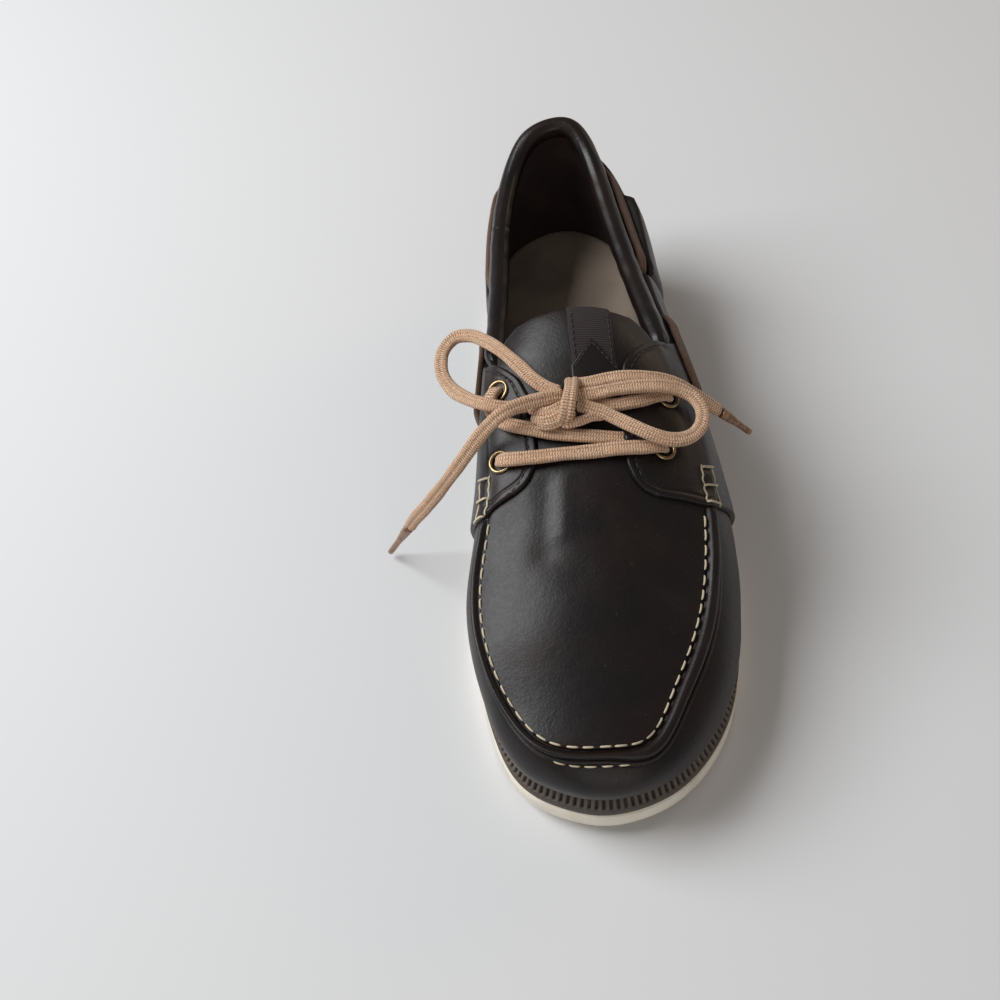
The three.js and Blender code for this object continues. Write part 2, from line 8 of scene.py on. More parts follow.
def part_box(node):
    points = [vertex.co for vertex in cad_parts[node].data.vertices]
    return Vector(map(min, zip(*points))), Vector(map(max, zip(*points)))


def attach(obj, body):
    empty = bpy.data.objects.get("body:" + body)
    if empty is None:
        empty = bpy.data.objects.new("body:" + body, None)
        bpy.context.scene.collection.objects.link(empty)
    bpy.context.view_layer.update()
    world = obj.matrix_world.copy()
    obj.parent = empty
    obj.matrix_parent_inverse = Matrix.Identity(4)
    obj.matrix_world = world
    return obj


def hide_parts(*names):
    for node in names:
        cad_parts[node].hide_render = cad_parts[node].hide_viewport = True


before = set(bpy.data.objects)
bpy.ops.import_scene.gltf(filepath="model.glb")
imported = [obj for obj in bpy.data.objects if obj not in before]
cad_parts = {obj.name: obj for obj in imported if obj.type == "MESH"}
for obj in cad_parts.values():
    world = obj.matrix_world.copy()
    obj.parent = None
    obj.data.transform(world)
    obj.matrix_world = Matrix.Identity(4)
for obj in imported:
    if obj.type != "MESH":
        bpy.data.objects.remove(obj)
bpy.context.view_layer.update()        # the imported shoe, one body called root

mm = 0.001
rng = np.random.default_rng(7)


# ---- the shoe's own surface, in millimetres ----
# One row for each section, toe to heel: the sole's edge, then the rim, which is the moccasin seam in
# front and the collar's top line behind.
sectionNames = ["soleY", "soleMedial", "soleLateral", "rimY", "rimMedial", "rimLateral",
                "rimZMedial", "rimZLateral", "bulgeMedial", "bulgeLateral", "crown"]
sectionRows = [
    [-150, -3.5, -3.5, -137.7, -3, -3, 42.5, 42.5, 7, 7, 0],
    [-146, -19.5, 14.5, -134.4, -22.8, 12.2, 43.5, 41.5, 7, 7, 2],
    [-134, -35.5, 31, -118.5, -35.5, 22.6, 44.5, 43.5, 7, 7, 5.5],
    [-109, -45, 46.5, -98, -42.4, 33, 48.5, 46.5, 7, 7, 9.5],
    [-74, -50, 54.5, -73, -43, 40.2, 53.5, 51.5, 7, 7, 12.5],
    [-42, -46.5, 56.5, -44, -36.5, 42.5, 66, 63, 5, 5, 11],
    [-8, -39, 53, -12, -35, 40, 76, 72.5, 5.5, 5, 12],
    [28, -34, 46.5, 17.5, -32.5, 34.5, 79, 78, 4, 8, 18],
    [65, -33, 41, 57, -28.5, 28.5, 76, 75, 3.5, 10.5, 18],
    [100, -33.5, 38.5, 95.5, -25, 23, 76, 76, 3, 10.5, 18],
    [130, -28.5, 33, 127, -18.5, 19, 80, 81.5, 3.5, 8, 18],
    [145, -14, 20, 143.8, -9, 14, 87.8, 89, 5, 5.5, 18],
    [150, 3, 3, 148.6, 4.5, 4.5, 90.5, 90.5, 5, 5, 18],
]
section = {name: [row[i] for row in sectionRows] for i, name in enumerate(sectionNames)}
rowCount = len(sectionRows) - 1
ringCount = 2 * rowCount

outsoleHeight = 7.5
bandHeight = 11.5
feather = {"front": 16.2, "rise": 7, "from": -30, "length": 110, "inset": 2.8}
toeSpring = {"height": 7, "from": -85, "length": 65}
heelBevel = {"height": 1.5, "from": 125, "length": 25}
arch = {"height": 2.5, "from": 10, "to": 78, "ramp": 16, "end": 3}
sides = {"medial": -1, "lateral": 1}


def closedSpline(medialName, lateralName):
    # cubic B-spline through the stations: toe, lateral side, heel, medial side
    stations = np.array(section[lateralName] + section[medialName][-2:0:-1], float)
    reach = np.arange(-rowCount, rowCount + 1)
    weights = math.sqrt(3) * (math.sqrt(3) - 2) ** np.abs(reach)
    controls = np.array([(weights * stations[(i + reach) % ringCount]).sum() for i in range(ringCount)])

    def curve(t):
        t = np.asarray(t, float)
        i = np.floor(t).astype(int)
        u = t - i
        a, b, c, d = (controls[(i + k) % ringCount] for k in (-1, 0, 1, 2))
        return ((1 - u) ** 3 * a + (3 * u ** 3 - 6 * u ** 2 + 4) * b
                + (1 + 3 * u + 3 * u ** 2 - 3 * u ** 3) * c + u ** 3 * d) / 6
    return curve


soleX = closedSpline("soleMedial", "soleLateral")
soleY = closedSpline("soleY", "soleY")
rimX = closedSpline("rimMedial", "rimLateral")
rimY = closedSpline("rimY", "rimY")
rimZ = closedSpline("rimZMedial", "rimZLateral")
bulge = closedSpline("bulgeMedial", "bulgeLateral")
crown = closedSpline("crown", "crown")


def ramp(x):
    x = np.clip(x, 0, 1)
    return x * x * (3 - 2 * x)


def unit(v):
    return v / np.maximum(np.linalg.norm(v, axis=-1, keepdims=True), 1e-9)


def floorZ(y):
    return (toeSpring["height"] * np.clip((toeSpring["from"] - y) / toeSpring["length"], 0, 1) ** 2
            + heelBevel["height"] * np.clip((y - heelBevel["from"]) / heelBevel["length"], 0, 1) ** 2)


def archZ(y):
    return (arch["height"] * ramp((y - arch["from"]) / arch["ramp"])
            * ramp((arch["to"] - y) / arch["end"]))


def featherZ(y):
    share = np.clip((y - feather["from"]) / feather["length"], 0, 1)
    return feather["front"] + feather["rise"] * share + floorZ(y)


def soleEdge(t, inset):
    step = 0.001
    dx = soleX(t + step) - soleX(t - step)
    dy = soleY(t + step) - soleY(t - step)
    length = np.hypot(dx, dy)
    return soleX(t) - inset * dy / length, soleY(t) + inset * dx / length


def rim(t):
    return np.stack([rimX(t), rimY(t), rimZ(t)], -1)


def bareSkin(side, row, q):
    # q runs up the wall from the sole (0) to the rim (1) and over the plug's centre (2) to the far rim (3)
    side, row, q = np.broadcast_arrays(np.asarray(side, float), row, q)
    t = np.where(side > 0, row, ringCount - row)
    w = np.clip((q - 1) / 2, 0, 1)[..., None]
    roof = rim(t) * (1 - w) + rim(ringCount - t) * w
    roof[..., 2] += (4 * w * (1 - w))[..., 0] * crown(row)
    footX, footY = soleEdge(t, feather["inset"])
    swellX, swellY = soleEdge(t, feather["inset"] - bulge(t))
    z = featherZ(soleY(t))
    top = rim(t)
    foot = np.stack([footX, footY, z], -1)
    swell = np.stack([swellX, swellY, z + 0.55 * (top[..., 2] - z)], -1)
    p = q[..., None]
    wall = foot * (1 - p) ** 2 + swell * 2 * p * (1 - p) + top * p * p
    return np.where(p > 1, roof, wall)


def skinNormal(side, row, q):
    step = 0.02
    along = bareSkin(side, row + step, q) - bareSkin(side, row - step, q)
    up = bareSkin(side, row, q + step) - bareSkin(side, row, np.maximum(0, q - step))
    return unit(np.cross(along, up)) * np.asarray(side, float)[..., None]


def skin(side, row, q, lift=0.0):
    side, row, q, lift = np.broadcast_arrays(np.asarray(side, float), row, q, lift)
    return bareSkin(side, row, q) + skinNormal(side, row, q) * lift[..., None]


fineRows = np.linspace(0, rowCount, 4801)
fineRimY = rimY(fineRows)


def rowAt(y):
    return np.interp(y, fineRimY, fineRows)


def qAt(side, row, reach):
    # the place that lies reach inward of the rim over the plug, or down the wall if negative
    side, row, reach = np.broadcast_arrays(np.asarray(side, float), row, np.asarray(reach, float))
    t = np.where(side > 0, row, ringCount - row)
    over = np.linalg.norm(rim(t) - rim(ringCount - t), axis=-1) / 2
    down = np.linalg.norm(rim(t) - bareSkin(side, row, np.full(row.shape, 0.8)), axis=-1) / 0.2
    return 1 + reach / np.where(reach > 0, over, down)


def sideOf(t):
    t = np.asarray(t, float) % ringCount
    lateral = t <= rowCount
    return np.where(lateral, 1.0, -1.0), np.where(lateral, t, ringCount - t)


def topPlace(x, y):
    row = rowAt(y)
    lateral, medial = rimX(row), rimX(ringCount - row)
    return row, 1 + 2 * (lateral - x) / (lateral - medial)


def overTop(x, y, lift):
    x, y, lift = np.broadcast_arrays(np.asarray(x, float), y, lift)
    row, q = topPlace(x, y)
    return skin(np.ones_like(x), row, q, lift)


def topNormal(x, y):
    x, y = np.broadcast_arrays(np.asarray(x, float), y)
    row, q = topPlace(x, y)
    return skinNormal(np.ones_like(x), row, q)


# the table's place in the frame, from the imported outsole
ring = np.linspace(0, ringCount, 2401)
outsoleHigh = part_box("outsole")[1]
origin = np.array([soleX(ring).max() - outsoleHigh.x / mm, soleY(ring).max() - outsoleHigh.y / mm, 0])


def toFrame(points):
    return (np.asarray(points, float) - origin) * mm


# ---- meshes ----
def makePiece(name, points, faces, materials, nodes=(), faceMaterial=None, values=None):
    mesh = bpy.data.meshes.new(name)
    mesh.from_pydata(toFrame(points).tolist(), [], faces)
    for material in materials:
        mesh.materials.append(material)
    if faceMaterial is not None:
        mesh.polygons.foreach_set("material_index", faceMaterial)
    mesh.polygons.foreach_set("use_smooth", [True] * len(mesh.polygons))
    for key, numbers in (values or {}).items():
        layer = mesh.attributes.new(key, "FLOAT", "POINT")
        layer.data.foreach_set("value", np.asarray(numbers, np.float32))
    mesh.validate()
    mesh.update()
    piece = bpy.data.objects.new(name, mesh)
    bpy.context.collection.objects.link(piece)
    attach(piece, "root")
    if nodes:
        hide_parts(*nodes)
    return piece


def gridFaces(columns, rows, ringed=False, start=0):
    faces = []
    for i in range(columns if ringed else columns - 1):
        a = start + i * rows
        b = start + (i + 1) % columns * rows
        faces += [(a + j, b + j, b + j + 1, a + j + 1) for j in range(rows - 1)]
    return faces


def shellFaces(faces, count):
    # the faces again on the inner layer, turned over, and a wall along every open edge
    free = {}
    for face in faces:
        for a, b in zip(face, face[1:] + face[:1]):
            if (b, a) in free:
                del free[(b, a)]
            else:
                free[(a, b)] = True
    inner = [tuple(count + i for i in reversed(face)) for face in faces]
    return faces + inner + [(b, a, count + a, count + b) for a, b in free]


def slab(outer, inner, ringed=False):
    columns, rows = outer.shape[:2]
    faces = shellFaces(gridFaces(columns, rows, ringed), columns * rows)
    return np.concatenate([outer.reshape(-1, 3), inner.reshape(-1, 3)]), faces


def joined(parts):
    points, faces, start = [], [], 0
    for somePoints, someFaces in parts:
        points.append(np.asarray(somePoints, float))
        faces += [tuple(start + i for i in face) for face in someFaces]
        start += len(somePoints)
    return np.concatenate(points), faces


def smoothPath(points, spacing):
    # a centripetal curve through the points, with even steps
    points = np.asarray(points, float)
    padded = np.vstack([2 * points[0] - points[1], points, 2 * points[-1] - points[-2]])
    found = [points[:1]]
    for i in range(1, len(padded) - 2):
        p = padded[i - 1:i + 3]
        knots = np.concatenate([[0], np.cumsum(np.linalg.norm(np.diff(p, axis=0), axis=1) ** 0.5)])
        t = np.linspace(knots[1], knots[2], 25)[1:, None]

        def blend(a, b, low, high):
            return ((high - t) * a + (t - low) * b) / (high - low)
        a1 = blend(p[0], p[1], knots[0], knots[1])
        a2 = blend(p[1], p[2], knots[1], knots[2])
        a3 = blend(p[2], p[3], knots[2], knots[3])
        b1 = blend(a1, a2, knots[0], knots[2])
        b2 = blend(a2, a3, knots[1], knots[3])
        found.append(blend(b1, b2, knots[1], knots[2]))
    line = np.concatenate(found)
    length = np.concatenate([[0], np.cumsum(np.linalg.norm(np.diff(line, axis=0), axis=1))])
    even = np.linspace(0, length[-1], max(4, int(length[-1] / spacing)))
    return np.stack([np.interp(even, length, line[:, k]) for k in range(3)], -1), even


def sweep(path, ups, halfWidth, halfHeight, around, power=0.85, relief=None):
    # a closed flat-oval tube along the path; ups point away from its broad face
    tangent = unit(np.gradient(path, axis=0))
    up = unit(ups - (ups * tangent).sum(-1, keepdims=True) * tangent)
    across = np.cross(tangent, up)
    angle = np.arange(around) * 2 * np.pi / around
    c, s = np.cos(angle), np.sin(angle)
    wide = (np.sign(c) * np.abs(c) ** power)[None, :, None]
    high = (np.sign(s) * np.abs(s) ** power)[None, :, None]
    w = np.broadcast_to(halfWidth, len(path))[:, None, None]
    h = np.broadcast_to(halfHeight, len(path))[:, None, None]
    outward = across[:, None] * wide * w + up[:, None] * high * h
    if relief is not None:
        outward = outward + unit(outward) * relief[..., None]
    points = (path[:, None] + outward).reshape(-1, 3)
    faces = []
    for i in range(len(path) - 1):
        a, b = i * around, (i + 1) * around
        faces += [(a + j, a + (j + 1) % around, b + (j + 1) % around, b + j) for j in range(around)]
    last = (len(path) - 1) * around
    points = np.vstack([points, path[0], path[-1]])
    first = len(points) - 2
    faces += [(first, (j + 1) % around, j) for j in range(around)]
    faces += [(first + 1, last + j, last + (j + 1) % around) for j in range(around)]
    return points, faces


def waves(p, size, seed, count=6):
    # slow, smooth unevenness of about 1, the same each run
    turn = np.random.default_rng(seed)
    total = 0
    for _ in range(count):
        direction = turn.normal(size=3)
        direction /= np.linalg.norm(direction)
        pitch = size * turn.uniform(0.7, 1.4)
        total = total + np.sin(p @ direction * (2 * np.pi / pitch) + turn.uniform(0, 6.3))
    return total / count ** 0.5


# ---- materials ----
class Wire:
    # a socket that can be added, multiplied and so on
    def __init__(self, paint, socket):
        self.paint = paint
        self.socket = socket

    def sum(self, operation, a, b):
        return self.paint.node("Math", {"operation": operation}, {0: a, 1: b})

    def __add__(self, other):
        return self.sum("ADD", self, other)

    def __radd__(self, other):
        return self.sum("ADD", other, self)

    def __sub__(self, other):
        return self.sum("SUBTRACT", self, other)

    def __rsub__(self, other):
        return self.sum("SUBTRACT", other, self)

    def __mul__(self, other):
        return self.sum("MULTIPLY", self, other)

    def __rmul__(self, other):
        return self.sum("MULTIPLY", other, self)

    def __pow__(self, other):
        return self.sum("POWER", self, other)


class Paint:
    # a material and its shader
    def __init__(self, name):
        self.material = bpy.data.materials.new(name)
        self.material.use_nodes = True
        self.tree = self.material.node_tree
        self.shader = self.tree.nodes["Principled BSDF"]

    def feed(self, socket, value):
        if isinstance(value, Wire):
            self.tree.links.new(value.socket, socket)
        else:
            socket.default_value = value

    def node(self, kind, settings=None, inputs=None, output=0):
        made = self.tree.nodes.new("ShaderNode" + kind)
        for name, value in (settings or {}).items():
            if name == "stops":
                for element, (place, shade) in zip(made.color_ramp.elements, value):
                    element.position = place
                    element.color = shade
            else:
                setattr(made, name, value)
        for name, value in (inputs or {}).items():
            self.feed(made.inputs[name], value)
        return Wire(self, made.outputs[output])

    def place(self):
        return self.node("TexCoord", output="Object")

    def noise(self, size, detail=2.0, roughness=0.5, vector=None, distortion=0.0):
        # size is that of one lump, in millimetres
        return self.node("TexNoise", {}, {"Vector": vector or self.place(), "Scale": 1 / (size * mm),
                                          "Detail": detail, "Roughness": roughness, "Distortion": distortion})

    def cells(self, size, feature="F1", output="Distance", randomness=1.0):
        return self.node("TexVoronoi", {"feature": feature},
                         {"Vector": self.place(), "Scale": 1 / (size * mm), "Randomness": randomness}, output)

    def sharpen(self, value, low, high):
        return self.node("MapRange", {"interpolation_type": "SMOOTHSTEP"},
                         {"Value": value, "From Min": low, "From Max": high})

    def mix(self, factor, a, b):
        return self.node("Mix", {"data_type": "RGBA"}, {0: factor, 6: a, 7: b}, output=2)

    def attribute(self, name):
        return self.node("Attribute", {"attribute_name": name}, output="Fac")

    def bump(self, height, depth, normal=None):
        inputs = {"Height": height, "Strength": 1.0, "Distance": depth * mm}
        if normal is not None:
            inputs["Normal"] = normal
        return self.node("Bump", {}, inputs)

    def finish(self, color, roughness, normal=None, **constants):
        self.feed(self.shader.inputs["Base Color"], color)
        self.feed(self.shader.inputs["Roughness"], roughness)
        if normal is not None:
            self.feed(self.shader.inputs["Normal"], normal)
        for name, value in constants.items():
            self.shader.inputs[name.replace("_", " ")].default_value = value
        return self.material


leatherLook = {"dark": (0.0078, 0.0056, 0.0058, 1), "warm": (0.0185, 0.0082, 0.0052, 1),
               "dust": (0.12, 0.105, 0.1, 1), "grain": 0.9, "pore": 0.35}


def leather(name, warmth=0.5, shine=0.27, wear=1.0):
    paint = Paint(name)
    cloud = paint.noise(22, 4, 0.55)
    small = paint.noise(1.6, 4, 0.6)
    tone = paint.mix(paint.sharpen(cloud, 0.35, 0.7) * warmth, leatherLook["dark"], leatherLook["warm"])
    specks = paint.sharpen(paint.noise(0.55, 1, 0.4), 0.715, 0.76)
    specks = specks * paint.sharpen(paint.noise(9, 2), 0.42, 0.62)
    scuffs = paint.sharpen(paint.noise(3.2, 5, 0.72), 0.62, 0.8) * paint.sharpen(cloud, 0.5, 0.72)
    tone = paint.mix(specks * (0.5 * wear), tone, leatherLook["dust"])
    tone = paint.mix(scuffs * (0.16 * wear), tone, leatherLook["dust"])
    rough = shine + 0.16 * cloud + 0.14 * small + 0.25 * scuffs
    grain = paint.cells(leatherLook["grain"], "SMOOTH_F1") * 0.8 + paint.noise(leatherLook["pore"], 2) * 0.5
    normal = paint.bump(grain, 0.05)
    normal = paint.bump(paint.noise(5, 3, 0.6), 0.12, normal)
    return paint.finish(tone, rough, normal, Specular_IOR_Level=0.4)


def laceCloth(name, light, dark, patchy):
    paint = Paint(name)
    braid = paint.attribute("braid")
    fuzz = paint.noise(0.5, 3, 0.75)
    patch = paint.noise(7, 3)
    # painted shade: the braid's height darkens its crevices, mixed with the fibres' random tone
    shade = paint.sharpen(braid * 0.4 + fuzz * 0.85, 0.38, 0.82)
    tone = paint.mix(shade, dark, light)
    tone = paint.mix(paint.sharpen(patch, 0.4, 0.75) * 0.4, tone, patchy)
    normal = paint.bump(fuzz + paint.noise(0.16, 2) * 0.6, 0.09)
    return paint.finish(tone, 0.92 + 0.05 * fuzz, normal, Sheen_Weight=0.2, Specular_IOR_Level=0.15)


def thread(name, light, dark):
    paint = Paint(name)
    twist = paint.noise(0.3, 2)
    grime = paint.sharpen(paint.noise(14, 3), 0.45, 0.75)
    tone = paint.mix(grime * 0.75, light, dark)
    return paint.finish(tone, 0.7 + 0.1 * twist, paint.bump(twist, 0.08), Sheen_Weight=0.1)


def rubber(name, light, dark, rough, grimeSize=18):
    paint = Paint(name)
    grime = paint.sharpen(paint.noise(grimeSize, 5, 0.62), 0.46, 0.72)
    fine = paint.noise(0.6, 3)
    tone = paint.mix(grime * 0.6 + fine * 0.12, light, dark)
    return paint.finish(tone, rough + 0.1 * grime, paint.bump(fine, 0.05), Specular_IOR_Level=0.35)


def weltRubber():
    paint = Paint("weltRubber")
    ribs = paint.attribute("rib")
    dirt = paint.noise(6, 4, 0.6)
    # painted shade: the rib attribute darkens the gaps between the ribs; the band's own brown sits at its
    # middle value
    tone = paint.mix(ribs, (0.016, 0.0115, 0.0095, 1), (0.105, 0.082, 0.064, 1))
    tone = paint.mix(paint.sharpen(dirt, 0.45, 0.8) * 0.35, tone, (0.2, 0.165, 0.135, 1))
    return paint.finish(tone, 0.6 + 0.1 * dirt, paint.bump(paint.noise(0.5, 2), 0.05))


def footbedSuede():
    paint = Paint("footbedSuede")
    wear = paint.sharpen(paint.noise(30, 3), 0.4, 0.7)
    nap = paint.noise(0.5, 4, 0.65)
    tone = paint.mix(wear * 0.6 + nap * 0.2, (0.42, 0.335, 0.26, 1), (0.24, 0.185, 0.145, 1))
    return paint.finish(tone, 0.85 + 0.1 * nap, paint.bump(nap, 0.08), Sheen_Weight=0.15)


def liningCloth():
    paint = Paint("liningTextile")
    wear = paint.sharpen(paint.noise(16, 4), 0.42, 0.75)
    nap = paint.noise(0.7, 4, 0.7)
    tone = paint.mix(wear * 0.7, (0.026, 0.013, 0.0105, 1), (0.062, 0.034, 0.028, 1))
    return paint.finish(tone, 0.88 + 0.08 * nap, paint.bump(nap, 0.1), Sheen_Weight=0.2)


def grosgrain():
    paint = Paint("ribbonGrosgrain")
    ribs = paint.attribute("rib")
    fibre = paint.noise(0.35, 3, 0.6)
    # painted shade: the rib attribute darkens the valleys between the ribs and the sunk edges
    tone = paint.mix(ribs * 0.85 + fibre * 0.15, (0.010, 0.006, 0.0065, 1), (0.04, 0.025, 0.027, 1))
    return paint.finish(tone, 0.8 + 0.1 * fibre, paint.bump(fibre, 0.06), Sheen_Weight=0.15)


def brass():
    paint = Paint("eyeletBrass")
    tarnish = paint.sharpen(paint.noise(2.5, 4, 0.6), 0.4, 0.75)
    tone = paint.mix(tarnish * 0.7, (0.42, 0.31, 0.16, 1), (0.12, 0.085, 0.05, 1))
    return paint.finish(tone, 0.26 + 0.3 * tarnish, paint.bump(paint.noise(0.8, 3), 0.03), Metallic=1.0)


def tipPlastic():
    paint = Paint("laceTipPlastic")
    streak = paint.noise(1.8, 3, 0.6)
    tone = paint.mix(paint.sharpen(streak, 0.3, 0.75), (0.17, 0.075, 0.034, 1), (0.42, 0.245, 0.13, 1))
    return paint.finish(tone, 0.32 + 0.2 * streak, paint.bump(streak, 0.1), Coat_Weight=0.3)


def floorPaint():
    paint = Paint("paleFloor")
    tone = paint.mix(paint.noise(180, 2) * 0.5, (0.8, 0.8, 0.8, 1), (0.78, 0.78, 0.78, 1))
    return paint.finish(tone, 0.9, Specular_IOR_Level=0.1)


looks = {
    "upper": leather("upperLeather", 0.6),
    "panel": leather("panelLeather", 0.9, 0.25),
    "roll": leather("rollLeather", 0.6, 0.2, 0.5),
    "lining": liningCloth(),
    # the lace's dark colour is painted shade in the braid's crevices
    "lace": laceCloth("laceCotton", (0.94, 0.66, 0.45, 1), (0.24, 0.12, 0.066, 1),
                      (0.50, 0.29, 0.175, 1)),
    # a darker copy of the lace for the side laces: painted shade for their place away from the light, and
    # dirt
    "dirtyShadedLace": laceCloth("laceCottonDirtyShaded", (0.2, 0.115, 0.072, 1), (0.05, 0.026, 0.018, 1),
                          (0.11, 0.06, 0.04, 1)),
    "cream": thread("creamThread", (0.66, 0.57, 0.40, 1), (0.30, 0.235, 0.16, 1)),
    "darkThread": thread("darkThread", (0.035, 0.028, 0.028, 1), (0.012, 0.009, 0.009, 1)),
    "outsole": rubber("creamRubber", (0.90, 0.83, 0.71, 1), (0.54, 0.47, 0.38, 1), 0.55),
    "welt": weltRubber(),
    "footbed": footbedSuede(),
    "ribbon": grosgrain(),
    "brass": brass(),
    "tip": tipPlastic(),
}


# ---- camera, light and floor ----
viewpoint = {"azimuth": 3.9, "elevation": 52.4, "roll": -8.7, "target": (-34.014, -25.415, 40.0),
             "distance": 484.4, "lens": 44.01}


def addCamera():
    a, e, r = (math.radians(viewpoint[key]) for key in ("azimuth", "elevation", "roll"))
    back = Vector((math.sin(a) * math.cos(e), -math.cos(a) * math.cos(e), math.sin(e)))
    right = Vector((math.cos(a), math.sin(a), 0))
    up = back.cross(right)
    turned = math.cos(r) * right + math.sin(r) * up
    upright = math.cos(r) * up - math.sin(r) * right
    data = bpy.data.cameras.new("camera")
    data.lens = viewpoint["lens"]
    data.sensor_width = 36
    data.clip_end = 20
    camera = bpy.data.objects.new("camera", data)
    bpy.context.collection.objects.link(camera)
    place = Vector(toFrame(viewpoint["target"])) + back * viewpoint["distance"] * mm
    camera.matrix_world = Matrix.Translation(place) @ Matrix((turned, upright, back)).transposed().to_4x4()
    bpy.context.scene.camera = camera
    bpy.context.scene.view_settings.view_transform = "Standard"


lamps = {
    "windowLight": {"at": (-0.99, 0.24, 1.1), "size": 0.95, "power": 21, "color": (0.95, 0.975, 1.0)},
    "frontFill": {"at": (0.1, -1.4, 0.62), "size": 0.8, "power": 2.6, "color": (1.0, 0.97, 0.94)},
    "warmSide": {"at": (1.15, 0.7, 0.6), "size": 0.6, "power": 1.8, "color": (1.0, 0.76, 0.56)},
}


def addStage():
    for name, lamp in lamps.items():
        data = bpy.data.lights.new(name, "AREA")
        data.size = lamp["size"]
        data.energy = lamp["power"]
        data.color = lamp["color"]
        light = bpy.data.objects.new(name, data)
        light.location = lamp["at"]
        light.rotation_euler = (-Vector(lamp["at"])).to_track_quat("-Z", "Y").to_euler()
        bpy.context.collection.objects.link(light)
    world = bpy.data.worlds.new("softRoom")
    world.use_nodes = True
    world.node_tree.nodes["Background"].inputs["Color"].default_value = (1.0, 0.96, 0.93, 1)
    world.node_tree.nodes["Background"].inputs["Strength"].default_value = 0.17
    bpy.context.scene.world = world
    mesh = bpy.data.meshes.new("floor")
    half = 4.0        # metres
    corners = [(-half, -half, 0), (half, -half, 0), (half, half, 0), (-half, half, 0)]
    mesh.from_pydata(corners, [], [(0, 1, 2, 3)])
    mesh.materials.append(floorPaint())
    floor = bpy.data.objects.new("floor", mesh)
    bpy.context.collection.objects.link(floor)


addCamera()
addStage()
print("camera, lights and floor are in place")


# ---- lace ----
lace = {"width": 5.3, "height": 3.2, "step": 0.3, "around": 36, "relief": 0.12, "stitch": 1.0, "column": 1.05,
        "groove": 0.38}


def braidRelief(along, width, height):
    # rows of small knitted Vs, in columns round the lace
    angle = np.arange(lace["around"]) * 2 * np.pi / lace["around"]
    girth = math.pi * (width + height) / 2
    columns = max(4, round(girth / lace["column"]))
    c = (angle / (2 * np.pi) * columns) % 1
    leaning = np.abs(c - 0.5)
    rows = along[:, None] / lace["stitch"] + leaning[None, :] * 0.9
    lobes = 0.5 + 0.5 * np.cos(2 * np.pi * rows)
    edge = 1 - (2 * leaning) ** 3
    return lobes * (0.35 + 0.65 * edge)[None, :]


def middleGroove(width):
    # a shallow channel along the middle of both broad faces
    angle = np.arange(lace["around"]) * 2 * np.pi / lace["around"]
    return -lace["groove"] * np.exp(-(np.cos(angle) * width / 2 / 0.75) ** 2)


def lacePath(points, ups, pinch=(1, 1), size=None, spacing=None):
    # the mesh of one stretch and the braid's height on it, which also paints shade into the braid's crevices;
    # ups is one direction or one for each point
    size = size or lace
    path, along = smoothPath(points, spacing or lace["step"])
    ups = np.broadcast_to(np.asarray(ups, float), (len(points), 3))
    share = np.linspace(0, 1, len(points))
    up = np.stack([np.interp(along / along[-1], share, ups[:, k]) for k in range(3)], -1)
    fromEnd = np.minimum(along, along[-1] - along)
    rounding = np.sqrt(1 - (1 - np.clip(fromEnd / 1.5, 0.02, 1)) ** 2)
    near = np.where(along < along[-1] / 2, pinch[0], pinch[1])
    pinched = near + (1 - near) * ramp(fromEnd / 7)
    wander = 1 + 0.035 * np.sin(along / 6.1 + along[-1]) + 0.025 * np.sin(along / 2.7)
    braid = braidRelief(along, size["width"], size["height"])
    relief = (lace["relief"] * (braid - 0.5) + middleGroove(size["width"])) * rounding[:, None]
    halfWidth = size["width"] / 2 * wander * rounding * pinched
    points, faces = sweep(path, up, halfWidth, size["height"] / 2 * rounding, lace["around"], 0.8, relief)
    return points, faces, np.concatenate([braid.ravel(), [0.5, 0.5]]), path, along[-1]


def addLace(name, points, ups, nodes, pinch=(1, 1), size=None, look="lace"):
    points, faces, braid, path, length = lacePath(points, ups, pinch, size)
    # the braid's height goes on the mesh for the painted shade in its crevices
    piece = makePiece(name, points, faces, [looks[look]], nodes, values={"braid": braid})
    return piece, path, length


